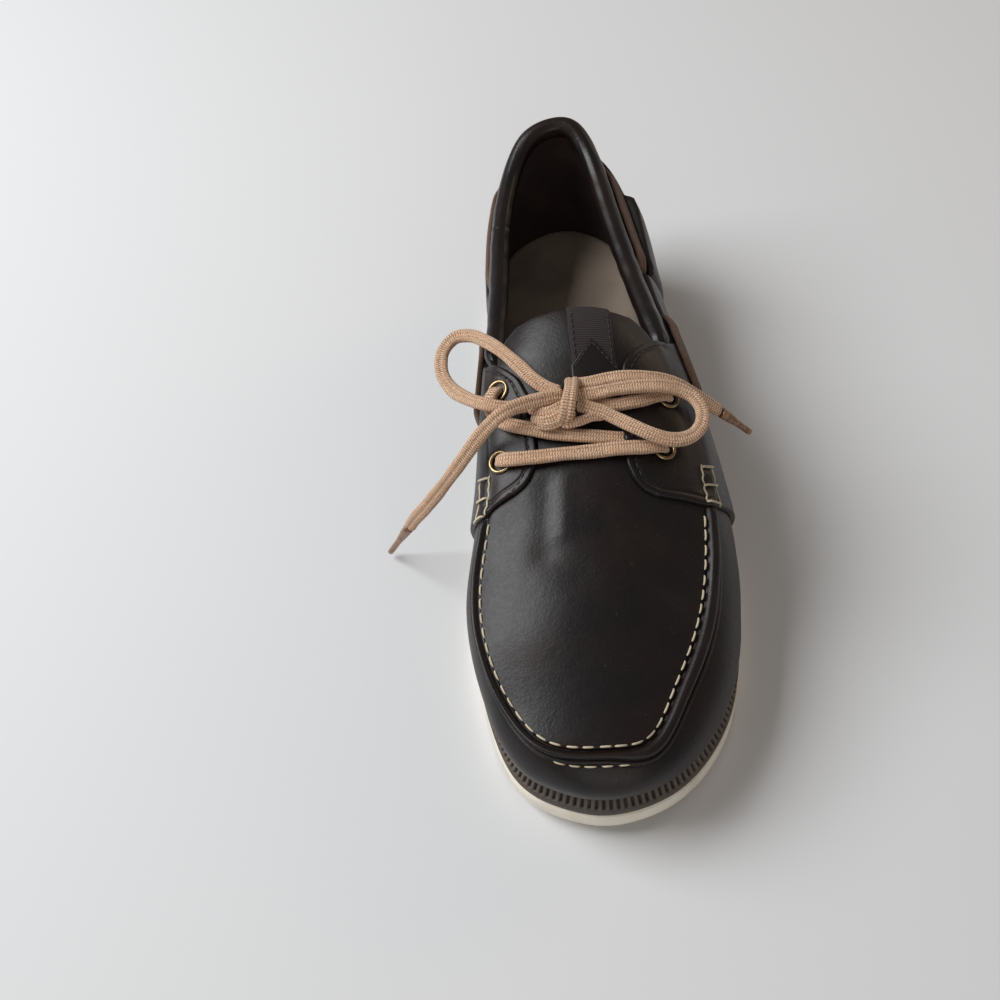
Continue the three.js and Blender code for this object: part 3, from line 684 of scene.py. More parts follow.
# The bow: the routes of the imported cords, run on into the knot.
bow = {
    "lace_loop_medial": {"up": (-0.1, -0.25, 1), "route": [
        [-6.5, -16.6, 89.6], [-10.7, -14.5, 89.7], [-15.8, -10, 90.5], [-21.3, -2, 91], [-27.6, 7.7, 90],
        [-33.2, 15.3, 88], [-39.1, 21.5, 85.5], [-45.1, 22.7, 84], [-49.8, 18.2, 82.5],
        [-51.2, 12.9, 81.5], [-50.7, 5.8, 81], [-47, -2.5, 81.5], [-41.2, -10.1, 84],
        [-36.6, -14.8, 86.3], [-31.8, -17.8, 87.2], [-27, -19, 87], [-21.9, -19.2, 87],
        [-16.7, -18.6, 87.2], [-10, -18, 87.8]]},
    "lace_loop_lateral": {"up": (0.15, -0.3, 1), "route": [
        [-1.5, -19.6, 89.9], [4.9, -18.8, 89.5], [10.1, -18.2, 89.7], [15.2, -17.5, 89.5],
        [22.6, -17, 89], [30, -17, 88], [37.3, -17.6, 85.5], [42.1, -20.5, 83.5], [44.3, -25.4, 82],
        [43.5, -30.8, 81], [40, -35.2, 80.5], [35.2, -37.8, 81.5], [29.8, -38.3, 83], [23.9, -36.4, 84.8],
        [18.8, -33.5, 85.8], [12.1, -28.8, 86.5], [7.7, -26.3, 87.7], [4.2, -25, 88.3], [-1, -22.6, 89]]},
    "lace_end_lateral": {"up": (0.3, -0.2, 1), "route": [
        [-2, -12.9, 88.9], [4, -12.9, 89], [7.5, -12.4, 89], [11.3, -11.8, 89], [15.7, -11.6, 89],
        [19.4, -11.5, 88.5], [23.2, -11.2, 87.7], [27, -11.2, 86.8], [30.8, -11.2, 85.5],
        [35.2, -11.8, 83.7], [39, -12.6, 81.5], [42.5, -13.6, 78.8], [46.5, -14.9, 75.5],
        [50.1, -15.8, 72.3], [53.3, -16.8, 69.8]]},
    "lace_end_medial": {"up": (-0.2, -0.9, 0.75), "route": [
        [-5.5, -19.4, 90.9], [-9, -19.9, 91.4], [-13, -20.9, 91.8], [-18, -22, 92.2],
        [-22.5, -23.4, 92.3], [-26.2, -24.8, 92], [-29.7, -25.7, 90.4], [-33.6, -26.4, 86.8],
        [-38.4, -27.6, 81.5], [-43.7, -29.2, 74.5], [-49.5, -30, 66], [-55.6, -30, 56.5],
        [-59.8, -29.7, 50], [-63.7, -29, 43.8], [-68, -27.6, 36.8], [-72.1, -26, 28.5]]},
}
tips = {
    "lace_tip_lateral": {"end": "lace_end_lateral", "from": [53.7, -16.9, 69.4], "to": [65.1, -18.8, 58]},
    "lace_tip_medial": {"end": "lace_end_medial", "from": [-72.4, -25.9, 28], "to": [-84.2, -19.1, 2.6]},
}
tipSize = {"start": 2.1, "end": 1.25, "around": 16}
knotStrands = {
    "wrap": {"width": 5.3, "up": [(0, 1, -0.4), (0, 0.9, 0.4), (0, 0.4, 1), (-0.05, -0.3, 1), (-0.1, -1, 0.5),
                                  (-0.2, -1, -0.3)],
             "route": [[-2.2, -9.5, 86], [-2, -11.9, 90.2], [-2.6, -18.6, 93.9], [-4.2, -25.4, 93.6],
                       [-5.5, -28.8, 90.6], [-7, -29.2, 86.6]]},
    "pleatHigh": {"width": 3.6, "up": (-0.2, -0.6, 1), "route": [
        [-18.5, -20.8, 86.8], [-15.5, -23.4, 88], [-11.5, -24.9, 89.3], [-7.5, -24, 90.2], [-3, -22, 90]]},
    "pleatMiddle": {"width": 3.4, "up": (-0.2, -0.9, 0.8), "route": [
        [-18.2, -24.4, 86.2], [-14.8, -26.9, 87], [-10.6, -27.6, 88.2], [-6.8, -26.4, 89.4],
        [-3, -24.4, 89.6]]},
    "pleatLow": {"width": 3.2, "up": (-0.2, -1, 0.5), "route": [
        [-16.4, -27, 85.4], [-12.8, -29, 85.9], [-9, -29, 86.8], [-5.6, -27.6, 88], [-2, -26, 88.4]]},
    "underRight": {"width": 3.6, "up": (0.1, -0.9, 0.7), "route": [
        [-7.5, -28.2, 86], [-5.2, -29.6, 86.8], [-1, -29.2, 87], [4, -27.8, 87.2], [8.4, -27.4, 86.6]]},
}


def addTip(name, tip):
    start, end = np.array(tip["from"], float), np.array(tip["to"], float)
    share = np.linspace(0, 1, 40)
    path = start + (end - start) * share[:, None]
    radius = tipSize["start"] + (tipSize["end"] - tipSize["start"]) * ramp(share * 1.6)
    radius = radius * np.sqrt(1 - np.clip((share - 0.94) / 0.06, 0, 0.98) ** 2)
    radius = radius * (1 + 0.03 * np.sin(share * 60))
    ups = np.broadcast_to((0.3, -0.5, 0.8), path.shape)
    points, faces = sweep(path, ups, radius, radius * 0.8, tipSize["around"])
    return makePiece(name, points, faces, [looks["tip"]], [tip["node"]])


def addBow():
    parts, heights = [], []
    for strand in knotStrands.values():
        size = {"width": strand["width"], "height": 3.0}
        points, faces, braid, _, _ = lacePath(strand["route"], strand["up"], size=size)
        parts.append((points, faces))
        heights.append(braid)
    points, faces = joined(parts)
    # the knot's braid heights carry the painted shade in its crevices
    knot = makePiece("knot", points, faces, [looks["lace"]], ["lace_knot"],
                     values={"braid": np.concatenate(heights)})
    madeTips = {tip["end"]: addTip(name.replace("lace_tip", "tip"), {**tip, "node": name})
                for name, tip in tips.items()}
    for name, cord in bow.items():
        piece, path, length = addLace(name.replace("lace_", "bow_"), cord["route"], cord["up"], [name])
        print(name, "is", round(length), "mm long")
        withPieces = [madeTips[name]] if name in madeTips else []
        if name == "lace_loop_medial":
            withPieces.append(knot)
        length * mm


addBow()
print("the bow is tied")

# Lace that lies on the shoe: x, y and the height of its middle over the surface.
bars = {
    "lace_front_bar": [
        [-31, -33.3, 1.4], [-30.6, -33.4, 3.4], [-27.9, -34.4, 5.5], [-23.5, -35.6, 5.5], [-19.3, -36.3, 5],
        [-15.2, -36.7, 4.2], [-7.3, -37.1, 3.4], [-0.7, -37.4, 3.1], [6.3, -37.2, 3.2], [11, -37.1, 4.2],
        [15.3, -37, 4.9], [20.5, -36.7, 5.3], [25.7, -35.8, 5.5], [28.4, -35.2, 3.4], [28.8, -35.1, 1.4]],
    "lace_cross_bar": [
        [-28.8, -5.6, 1.4], [-28.9, -6.1, 3.4], [-30.2, -8.8, 5.6], [-31.1, -12.4, 5.5], [-30.2, -16.3, 5.2],
        [-26.8, -20.5, 4.9], [-21.2, -24.1, 4.9], [-15.8, -26.5, 4.2], [-10, -28.6, 2.9], [-2.7, -30.6, 2.7],
        [4, -31.7, 2.7], [10.5, -32.4, 2.4], [15, -32.6, 2.3], [20, -32.6, 2.2]],
    "lace_rear_bar": [
        [32.9, -13.9, 1.4], [32.5, -14, 3.4], [29.8, -14.7, 5.4], [26, -16.2, 5.2], [22, -18.2, 5],
        [17.5, -19.4, 4.7], [13.5, -20.2, 4.2], [8, -20.2, 3.6], [0, -19.4, 4]],
}
barSettle = 0.6        # the flat lace lies this much lower than a round one
sideLace = {"width": 6.2, "height": 2.6, "points": 9, "dive": 2.2}
sideLaces = {
    "side_lace_medial_rear": {"side": -1, "from": 67.5, "to": 130, "reach": -12, "lift": 1.6},
    "side_lace_lateral_rear": {"side": 1, "from": 67.5, "to": 130, "reach": -12, "lift": 1.6},
    "side_lace_medial_front": {"side": -1, "from": -8, "to": 34, "reach": -13, "lift": 3.3},
    "side_lace_lateral_front": {"side": 1, "from": -8, "to": 34, "reach": -13, "lift": 3.3},
}


def addLacing():
    for name, route in bars.items():
        x, y, lift = np.array(route, float).T
        ups = topNormal(x, y)
        pinch = (0.72, 0.72) if name == "lace_front_bar" else (0.72, 1)
        addLace(name.replace("lace_", "lacing_"), overTop(x, y, lift - barSettle), ups, [name], pinch)
    for name, lie in sideLaces.items():
        y = np.linspace(lie["from"] - 0.5, lie["to"] + 0.5, sideLace["points"])
        row = rowAt(y)
        side = np.full(len(y), float(lie["side"]))
        q = qAt(side, row, np.full(len(y), float(lie["reach"])))
        lift = np.full(len(y), lie["lift"])
        lift[[0, -1]] -= sideLace["dive"]
        # the side laces take the darker lace copy: painted shade and dirt
        addLace(name.replace("side_lace", "sideLace"), skin(side, row, q, lift), skinNormal(side, row, q),
                [name], size=sideLace, look="dirtyShadedLace")


addLacing()
print("the lace runs through the eyelets and along the sides")

# ---- upper ----
shell = {"wall": 2.0, "seamSpan": 9.0, "seamStep": 0.34, "lowRows": 16, "plugRows": 15, "plugEnd": -11.72,
         "spineFrom": -97.0, "toe": -137.7}
ridge = {"height": 2.3, "groove": 0.6, "toe": 1.1, "medial": 1.45, "lateral": 2.6, "start": 0.55,
         "bead": 1.2, "beadHalf": 1.0,
         "stitchTrough": 0.9, "fadeFrom": -53.5, "fadeTo": -49.5}
# soft troughs (positive depth) and swells over the plug: two ends, half width, depth
plugCreases = [
    [(-15, -47), (-18, -70), 4.5, 0.7],
    [(-9, -46), (-11, -64), 3.0, -0.45],
    [(16, -54), (22, -72), 5.0, 0.45],
    [(-28, -60), (-6, -78), 6.0, 0.35],
    [(4, -62), (26, -84), 5.5, 0.35],
]
roll = {"diameter": 8.5, "front": 19, "tuck": 2.2}
rollGap = 0.9


def seamHeight(reach, t):
    # height of the rolled seam over the bare surface; reach is inward over the plug
    _, row = sideOf(t)
    lateral = ramp((rimX(t) + 6) / 24)
    medial = ramp((-rimX(t) - 8) / 22)
    half = ridge["toe"] + (ridge["lateral"] - ridge["toe"]) * lateral
    half = half + (ridge["medial"] - ridge["toe"]) * medial
    centre = -ridge["start"] - half
    roundTop = np.sqrt(np.clip(1 - ((reach - centre) / half) ** 2, 0, 1))
    beadCentre = centre - half - ridge["beadHalf"] * 0.9
    bead = np.sqrt(np.clip(1 - ((reach - beadCentre) / ridge["beadHalf"]) ** 2, 0, 1)) * (1 - 0.8 * lateral)
    trough = np.exp(-((reach + 0.25) / 0.6) ** 2)
    outerGroove = np.exp(-((reach - centre + half) / 0.4) ** 2) + 0.7 * np.exp(
        -((reach - beadCentre + ridge["beadHalf"]) / 0.45) ** 2) * (1 - lateral)
    fade = 1 - ramp((rimY(t) - ridge["fadeFrom"]) / (ridge["fadeTo"] - ridge["fadeFrom"]))
    return (ridge["height"] * roundTop + ridge["bead"] * bead - ridge["stitchTrough"] * trough
            - ridge["groove"] * outerGroove) * fade


def roundOff(reach, t):
    # the fold over the rim behind the rolled seam is soft
    y = rimY(t)
    return 1.3 * np.exp(-(reach / 3.5) ** 2) * ramp((y + 52) / 6) * (1 - ramp((y - 10) / 6))


def roofPoint(x, y):
    row = rowAt(y)
    lateral, medial = rimX(row), rimX(ringCount - row)
    w = np.clip((lateral - x) / np.maximum(lateral - medial, 0.01), 0, 1)
    z = rimZ(row) * (1 - w) + rimZ(ringCount - row) * w + 4 * w * (1 - w) * crown(row)
    return np.stack([x, y, z], -1)


def roofNormal(x, y):
    step = 0.6
    slopeX = (roofPoint(x + step, y) - roofPoint(x - step, y))[..., 2] / (2 * step)
    slopeY = (roofPoint(x, y + step) - roofPoint(x, y - step))[..., 2] / (2 * step)
    return unit(np.stack([-slopeX, -slopeY, np.ones_like(slopeX)], -1))


def plugSoftness(x, y):
    p = np.stack([x, y, np.zeros_like(x)], -1)
    total = 0.12 * waves(p, 26, 3)
    for start, end, half, depth in plugCreases:
        a, b = np.array(start, float), np.array(end, float)
        along = b - a
        share = ((p[..., :2] - a) @ along) / (along @ along)
        inside = np.clip(share, 0, 1)
        distance = np.linalg.norm(p[..., :2] - a - inside[..., None] * along, axis=-1)
        total = total - depth * np.exp(-(distance / half) ** 2)
    return total


def nearest(points, line):
    flat = points.reshape(-1, 3)
    best = [np.sqrt(((part[:, None] - line[None]) ** 2).sum(-1).min(1)) for part in np.array_split(flat, 40)]
    return np.concatenate(best).reshape(points.shape[:-1])


def addUpper():
    half = rowCount // 2
    front = np.linspace(ringCount - half, ringCount + half, 261)
    rear = np.linspace(half, ringCount - half, 150)[1:-1]
    t = np.concatenate([front, rear + ringCount]) % ringCount
    side, row = sideOf(t)
    y = rimY(t)
    top = -(roll["diameter"] + rollGap) * ramp((y - 13.5) / 4)
    near = -np.arange(0, shell["seamSpan"], shell["seamStep"])[::-1]
    upperReach = top[:, None] + near[None]
    qNear = qAt(side[:, None], row[:, None], np.minimum(upperReach, 0))
    low = np.linspace(0, 1, shell["lowRows"], endpoint=False)[None] * qNear[:, :1]
    q = np.concatenate([low, qNear], 1)
    sideGrid, rowGrid, tGrid = (np.broadcast_to(a[:, None], q.shape) for a in (side, row, t))
    base = bareSkin(sideGrid, rowGrid, q)
    normal = skinNormal(sideGrid, rowGrid, np.minimum(q, 0.979))
    reach = np.concatenate([np.full(low.shape, -60.0), np.minimum(upperReach, 0)], 1)
    reach[:, :shell["lowRows"]] = -nearest(base[:, :shell["lowRows"]], rim(ring))
    plugFront = len(front)
    xIn, yIn = rimX(t[:plugFront]), rimY(t[:plugFront])
    centreX = (rimX(rowAt(yIn)) + rimX(ringCount - rowAt(yIn))) / 2
    roofEdge = roofNormal(xIn + (centreX - xIn) * 0.08, yIn + 1.2)
    blend = ramp((reach + 2.4) / 4.8)[..., None]
    edgeNormal = np.zeros((len(t), 1, 3))
    edgeNormal[:plugFront, 0] = roofEdge
    foldHere = (y < 12)[:, None, None]
    normal = np.where(foldHere, unit(normal * (1 - blend) + edgeNormal * blend), normal)
    rise = seamHeight(reach, tGrid) - roundOff(reach, tGrid) + 0.1 * waves(base, 24, 5)
    wallPoints = base + normal * rise[..., None]
    wallInner = base - normal * (shell["wall"] + np.maximum(roundOff(reach, tGrid), 0))[..., None]
    columns, rows = q.shape
    faces = gridFaces(columns, rows, ringed=True)
    # the plug: lines from the seam to a spine down the middle
    share = (yIn - shell["toe"]) / (shell["plugEnd"] - shell["toe"])
    spineY = shell["spineFrom"] + (shell["plugEnd"] - shell["spineFrom"]) * share
    spineX = (rimX(rowAt(spineY)) + rimX(ringCount - rowAt(spineY))) / 2
    yIn = np.minimum(yIn, shell["plugEnd"])
    length = np.hypot(spineX - xIn, spineY - yIn)
    steps = np.arange(1, int(shell["seamSpan"] * 0.7 / shell["seamStep"]))
    fine = steps[None] * shell["seamStep"] / length[:, None]
    coarse = fine[:, -1:] + (1 - fine[:, -1:]) * np.linspace(0, 1, shell["plugRows"] + 1)[None, 1:]
    w = np.concatenate([fine, coarse], 1)
    x = xIn[:, None] + (spineX - xIn)[:, None] * w
    yPlug = yIn[:, None] + (spineY - yIn)[:, None] * w
    roof = roofPoint(x, yPlug)
    roofUp = roofNormal(x, yPlug)
    distance = nearest(roof, rim(ring))
    tPlug = np.broadcast_to(t[:plugFront, None], w.shape)
    blend = ramp((distance + 2.4) / 4.8)[..., None]
    wallUp = skinNormal(side[:plugFront], row[:plugFront], np.full(plugFront, 0.979))[:, None]
    roofUp = unit(wallUp * (1 - blend) + roofUp * blend)
    rise = (seamHeight(distance, tPlug) - roundOff(distance, tPlug)
            + plugSoftness(x, yPlug) * ramp((distance - 1.5) / 6))
    plugPoints = roof + roofUp * rise[..., None]
    plugInner = roof - roofUp * shell["wall"]
    start = columns * rows
    depth = w.shape[1]
    middle = plugFront // 2

    def at(k, j):
        if j == 0:
            return k * rows + rows - 1
        if j == depth and k > middle:
            k = plugFront - 1 - k
        return start + k * depth + j - 1
    for k in range(plugFront - 1):
        for j in range(depth):
            face = (at(k, j), at(k + 1, j), at(k + 1, j + 1), at(k, j + 1))
            kept = tuple(dict.fromkeys(face))
            if len(kept) > 2:
                faces.append(kept)
    outer = np.concatenate([wallPoints.reshape(-1, 3), plugPoints.reshape(-1, 3)])
    inner = np.concatenate([wallInner.reshape(-1, 3), plugInner.reshape(-1, 3)])
    everyFace = shellFaces(faces, len(outer))
    lined = [0] * len(faces) + [1] * len(faces) + [0] * (len(everyFace) - 2 * len(faces))
    makePiece("upperLeather", np.concatenate([outer, inner]), everyFace, [looks["upper"], looks["lining"]],
              ["upper"], lined)


addUpper()
print("the upper is lasted")

# ---- tongue, ribbon and chevron ----
tongue = {"thickness": 3.0, "sideGap": 4.0, "corner": 10.0, "top": 20.0, "front": -11.68, "edge": 1.3}
ribbon = {"left": -1.2, "right": 15.3, "front": -4.6, "thick": 0.55, "rib": 0.92, "ribHeight": 0.16}
chevron = {"left": -2.0, "right": 16.0, "front": -16.0, "peak": (6.8, 5.4), "shoulderY": -4.4, "thick": 0.9}


def addTongue():
    y = np.linspace(tongue["front"], tongue["top"], 66)
    row = rowAt(y)
    corner = np.clip((y - (tongue["top"] - tongue["corner"])) / tongue["corner"], 0, 1)
    inset = tongue["sideGap"] + tongue["corner"] * (1 - np.sqrt(1 - corner ** 2 * 0.96))
    edge = qAt(np.ones_like(y), row, inset)
    share = (1 - np.cos(np.linspace(0, np.pi, 81))) / 2
    q = edge[:, None] + (4 - 2 * edge)[:, None] * share[None]
    rowGrid = np.broadcast_to(row[:, None], q.shape)
    base = skin(np.ones_like(q), rowGrid, q)
    up = skinNormal(np.ones_like(q), rowGrid, q)
    border = np.concatenate([base[:, 0], base[-1], base[::-1, -1]])
    distance = nearest(base, border)
    rounded = np.sqrt(1 - (1 - np.clip(distance / tongue["edge"], 0, 1)) ** 2)
    soft = 0.25 * waves(base, 21, 11) * ramp((base[..., 1] + 10) / 12)
    outer = base + up * ((rounded - 1) * 1.1 + soft)[..., None]
    inner = base - up * (tongue["thickness"] - (1 - rounded) * 0.9)[..., None]
    points, faces = slab(outer[:, ::-1], inner[:, ::-1])
    makePiece("tongueLeather", points, faces, [looks["upper"]], ["tongue"])

    x = np.linspace(ribbon["left"], ribbon["right"], 24)
    y = np.linspace(ribbon["front"], tongue["top"] + 0.9, 150)
    xGrid, yGrid = np.meshgrid(x, y, indexing="ij")
    over = np.maximum(yGrid - tongue["top"] + 0.5, 0)
    safeY = np.minimum(yGrid, tongue["top"] - 0.2)
    ribs = 0.5 + 0.5 * np.cos(2 * np.pi * yGrid / ribbon["rib"])
    inside = ramp((xGrid - ribbon["left"]) / 1.4) * ramp((ribbon["right"] - xGrid) / 1.4)
    lift = ribbon["thick"] + ribbon["ribHeight"] * ribs * inside - 0.5 * (1 - ramp(np.minimum(
        xGrid - ribbon["left"], ribbon["right"] - xGrid) / 0.7)) - over * 1.9
    outer = overTop(xGrid, safeY, lift)
    outer[..., 1] += over * 0.75
    inner = overTop(xGrid, safeY, -0.1 - over * 1.9)
    inner[..., 1] += over * 0.4
    points, faces = slab(outer, inner)
    # the ribs' height, lowered at the edges and zero underneath, goes on as painted shade
    ribHeight = np.concatenate([(ribs * (0.25 + 0.75 * inside)).ravel(), np.zeros(inner.size // 3)])
    makePiece("tongueRibbon", points, faces, [looks["ribbon"]], values={"rib": ribHeight})

    x = np.linspace(chevron["left"], chevron["right"], 40)
    peakX, peakY = chevron["peak"]
    half = np.where(x < peakX, peakX - chevron["left"], chevron["right"] - peakX)
    endY = peakY + (chevron["shoulderY"] - peakY) * np.abs(x - peakX) / half
    share = np.linspace(0, 1, 40)
    xGrid = np.broadcast_to(x[:, None], (40, 40))
    yGrid = chevron["front"] + (endY - chevron["front"])[:, None] * share[None]
    base = overTop(xGrid, yGrid, 0)
    border = np.concatenate([base[0], base[:, -1], base[-1]])
    rounded = np.sqrt(1 - (1 - np.clip(nearest(base, border) / 0.9, 0, 1)) ** 2)
    fade = ramp((yGrid - chevron["front"]) / 5)
    outer = overTop(xGrid, yGrid, 0.05 + (ribbon["thick"] + chevron["thick"]) * rounded * fade)
    points, faces = slab(outer, overTop(xGrid, yGrid, -0.15))
    makePiece("tongueChevron", points, faces, [looks["upper"]])


addTongue()
print("the tongue has its ribbon")

# ---- side panels with the eyelet flaps ----
panel = {"gap": 0.3, "thickness": 1.7, "rear": 64.0, "edge": 0.9, "lean": 0.45, "leanLength": 24.0}
# how far each flap reaches over the plug: place along the shoe, reach from the rim
flapEdge = {
    "medial": [(-50.5, 0), (-48.3, 2.5), (-47.4, 7.5), (-46, 12), (-43.5, 15.4), (-38, 18), (-33, 18.6),
               (-12, 17), (-4, 13.5), (2, 8.5), (8, 3), (13, -6), (17, -9.5)],
    "lateral": [(-53, 16), (-52, 21.3), (-50, 24.2), (-47, 26.3), (-42, 28), (-34, 28.3), (-12, 24.5),
                (-4, 21.5), (2, 16.5), (8, 9), (13, 2), (17, -9.5)],
}
eyelets = {
    "eyelet_1": (-30.6, -33.4),
    "eyelet_2": (28.5, -35.2),
    "eyelet_3": (-28.9, -6),
    "eyelet_4": (32.5, -14),
}
eyelet = {"hole": 3.2, "barrel": 3.6, "flange": 4.6, "around": 40}
# the lateral flap rises over the cross bar
barRise = {"x": 16.5, "y": -32.8, "halfX": 5, "halfY": 3.2, "height": 2.6}
whipSpan = {"medial": (-51.5, -37.0), "lateral": (-52.3, -38.5)}


def flapReach(name, y):
    # the table's edge, with its corners eased
    places, reaches = np.array(flapEdge[name], float).T
    offsets = np.linspace(-1.2, 1.2, 9)
    eased = [np.interp(y + k, places, reaches) for k in offsets]
    return np.mean(eased, axis=0)


def foldedSkin(side, row, reach, lift):
    # the surface raised by lift, with an eased fold at the rim
    q = qAt(side, row, reach)
    t = np.where(side > 0, row, ringCount - row)
    wallUp = skinNormal(side, row, np.minimum(q, 0.975))
    topUp = skinNormal(side, row, np.maximum(q, 1.03))
    blend = ramp((reach + 5) / 10)[..., None]
    up = unit(wallUp * (1 - blend) + topUp * blend)
    return bareSkin(side, row, q) + up * (lift - roundOff(reach, t) * 0.9)[..., None], up


def panelGrid(name):
    side = float(sides[name])
    front = flapEdge[name][0][0]
    spans = [np.linspace(front, -38, 44)[:-1], np.linspace(-38, 20, 60)[:-1]]
    spans.append(np.linspace(20, panel["rear"], 24))
    fineY = np.concatenate(spans)
    row = rowAt(fineY)
    top = flapReach(name, fineY)
    fold = np.minimum(top, 0.0)
    fall = rim(np.where(side > 0, row, ringCount - row)) - bareSkin(side, row, np.full(len(row), 0.8))
    bottom = (0.02 - 1) * np.linalg.norm(fall, axis=-1) / 0.2
    share = np.linspace(0, 1, 30) ** 0.8
    wall = bottom[:, None] + (fold - bottom)[:, None] * share[None]
    share = 1 - (1 - np.linspace(0, 1, 38)[1:]) ** 1.7
    over = fold[:, None] + (top - fold)[:, None] * share[None]
    reach = np.concatenate([wall, over], 1)
    rowGrid = np.broadcast_to(row[:, None], reach.shape)
    sideGrid = np.full(reach.shape, side)
    lean = panel["lean"] * np.clip(1 - (fineY - front) / panel["leanLength"], 0, 1)[:, None]
    rowGrid = rowGrid + lean * np.maximum(0, 1 - qAt(sideGrid, rowGrid, reach))
    return sideGrid, rowGrid, reach


def addPanel(name):
    side, row, reach = panelGrid(name)
    base, _ = foldedSkin(side, row, reach, np.zeros(reach.shape))
    border = np.concatenate([base[0], base[:, -1], base[-1]])
    border = np.concatenate([border + (np.roll(border, -1, 0) - border) * k for k in (0, 0.33, 0.66)])
    distance = nearest(base, border)
    rounded = np.sqrt(1 - (1 - np.clip(distance / panel["edge"], 0, 1)) ** 2)
    y = rimY(row)
    low, high = whipSpan[name]
    seam = np.exp(-((reach + 2.6) / 2.1) ** 2) * ramp((y - low + 1) / 3) * (1 - ramp((y - high + 3) / 5))
    sinkStitch = 0.35 * np.exp(-((distance - 3.0) / 0.5) ** 2) * ramp((reach + 2) / 3)
    lift = panel["gap"] + panel["thickness"] * rounded + 1.1 * seam - sinkStitch + 0.12 * waves(base, 19, 21)
    x, yHere = base[..., 0], base[..., 1]
    across = (x - barRise["x"]) / barRise["halfX"]
    along = (yHere - barRise["y"]) / barRise["halfY"]
    lift = lift + barRise["height"] * np.exp(-across ** 2 - along ** 2)
    for x, yHole in eyelets.values():
        around = np.linalg.norm(base - overTop(x, yHole, 0), axis=-1)
        lift = lift - 0.25 * np.exp(-((around - 4.6) / 1.3) ** 2)
    outer, _ = foldedSkin(side, row, reach, lift)
    inner, _ = foldedSkin(side, row, reach, np.full(reach.shape, 0.1))
    if side[0, 0] < 0:
        outer, inner = outer[::-1], inner[::-1]
    points, faces = slab(outer, inner)
    return points, faces


def addFlaps():
    for name in sides:
        points, faces = addPanel(name)
        piece = makePiece("panel_" + name, points, faces, [looks["panel"]], ["quarter_" + name])
        holes = []
        for key, (x, y) in eyelets.items():
            if (x > 0) != (name == "lateral"):
                continue
            foot, up = overTop(x, y, -3.0), topNormal(x, y)
            path = foot + up * np.linspace(0, 9, 3)[:, None]
            radius = np.full(3, eyelet["barrel"] + 0.05)
            holes.append(sweep(path, np.broadcast_to((0.3, 1.0, 0), path.shape), radius, radius, 32, 1.0))
        points, faces = joined(holes)
        tool = bpy.data.meshes.new("punch")
        tool.from_pydata(toFrame(points).tolist(), [], faces)
        punch = bpy.data.objects.new("punch", tool)
        bpy.context.collection.objects.link(punch)
        cut = piece.modifiers.new("eyeletHoles", "BOOLEAN")
        cut.object = punch
        cut.operation = "DIFFERENCE"
        cut.solver = "EXACT"
        bpy.context.view_layer.update()
        graph = bpy.context.evaluated_depsgraph_get()
        punched = bpy.data.meshes.new_from_object(piece.evaluated_get(graph))
        piece.modifiers.clear()
        piece.data = punched
        bpy.data.objects.remove(punch)


def addEyelets():
    seat = 2 * panel["gap"] + panel["thickness"] - 0.25
    profile = [(eyelet["hole"], -0.4), (eyelet["barrel"], -0.4), (eyelet["barrel"], seat - 0.1)]
    dome = np.linspace(0, np.pi, 9)
    middle = (eyelet["hole"] + eyelet["flange"]) / 2
    width = (eyelet["flange"] - eyelet["hole"]) / 2
    profile += [(middle + width * math.cos(a), seat + 0.75 * math.sin(a)) for a in dome]
    for name, (x, y) in eyelets.items():
        foot, up = overTop(x, y, 0), topNormal(x, y)
        across = unit(np.cross(up, (0, 1, 0)))
        along = np.cross(up, across)
        angle = np.linspace(0, 2 * np.pi, eyelet["around"], endpoint=False)
        rings = [foot + (across * np.cos(a) + along * np.sin(a)) * r + up * z
                 for a in angle for r, z in profile]
        faces = gridFaces(eyelet["around"], len(profile), ringed=True)
        last = len(profile) - 1
        count, rows = eyelet["around"], len(profile)
        faces += [(i * rows, i * rows + last, (i + 1) % count * rows + last, (i + 1) % count * rows)
                  for i in range(count)]
        makePiece(name.replace("eyelet_", "brassEyelet_"), np.array(rings), faces, [looks["brass"]],
                  [name])


addFlaps()
addEyelets()
print("the flaps and eyelets are on")

# ---- heel counter and collar ----
counter = {"front": 65.5, "top": -17, "medial": 2.0, "lateral": 3.4, "rear": 118, "edge": 1.4}
counterLump = [(78, 0), (92, 1.4), (108, 2.9), (114, 2.4), (118.5, 0)]        # along the lateral top edge


def addCounter():
    front = float(rowAt(counter["front"]))
    t = np.linspace(front, ringCount - front, 150)
    side, row = sideOf(t)
    y = rimY(row)
    swell = ramp((y - counter["front"]) / 6) * ramp((counter["rear"] - y) / 4)
    extra = (counter["lateral"] - counter["medial"]) * swell
    proud = counter["medial"] + np.where(side > 0, extra, 0)
    top = qAt(side, row, np.full(len(t), float(counter["top"])))
    share = 1 - (1 - np.linspace(0, 1, 44)) ** 1.5
    q = 0.02 + (top - 0.02)[:, None] * share[None]
    sideGrid, rowGrid, proudGrid = (np.broadcast_to(a[:, None], q.shape) for a in (side, row, proud))
    lump = np.where(side > 0, np.interp(y, *np.array(counterLump).T), 0)
    proudGrid = proudGrid + lump[:, None] * share[None] ** 2
    base = bareSkin(sideGrid, rowGrid, q)
    border = np.concatenate([base[0], base[:, -1], base[-1]])
    distance = nearest(base, border)
    rounded = np.sqrt(1 - (1 - np.clip(distance / counter["edge"], 0, 1)) ** 2)
    groove = sum(0.3 * np.exp(-((distance - place) / 0.45) ** 2) for place in (2.6, 5.0))
    lift = 0.3 + proudGrid * rounded - groove + 0.12 * waves(base, 22, 31)
    outer = skin(sideGrid, rowGrid, q, lift)
    inner = skin(sideGrid, rowGrid, q, np.full(q.shape, 0.1))
    points, faces = slab(outer, inner)
    makePiece("heelCounter", points, faces, [looks["panel"]], ["heel_counter"])


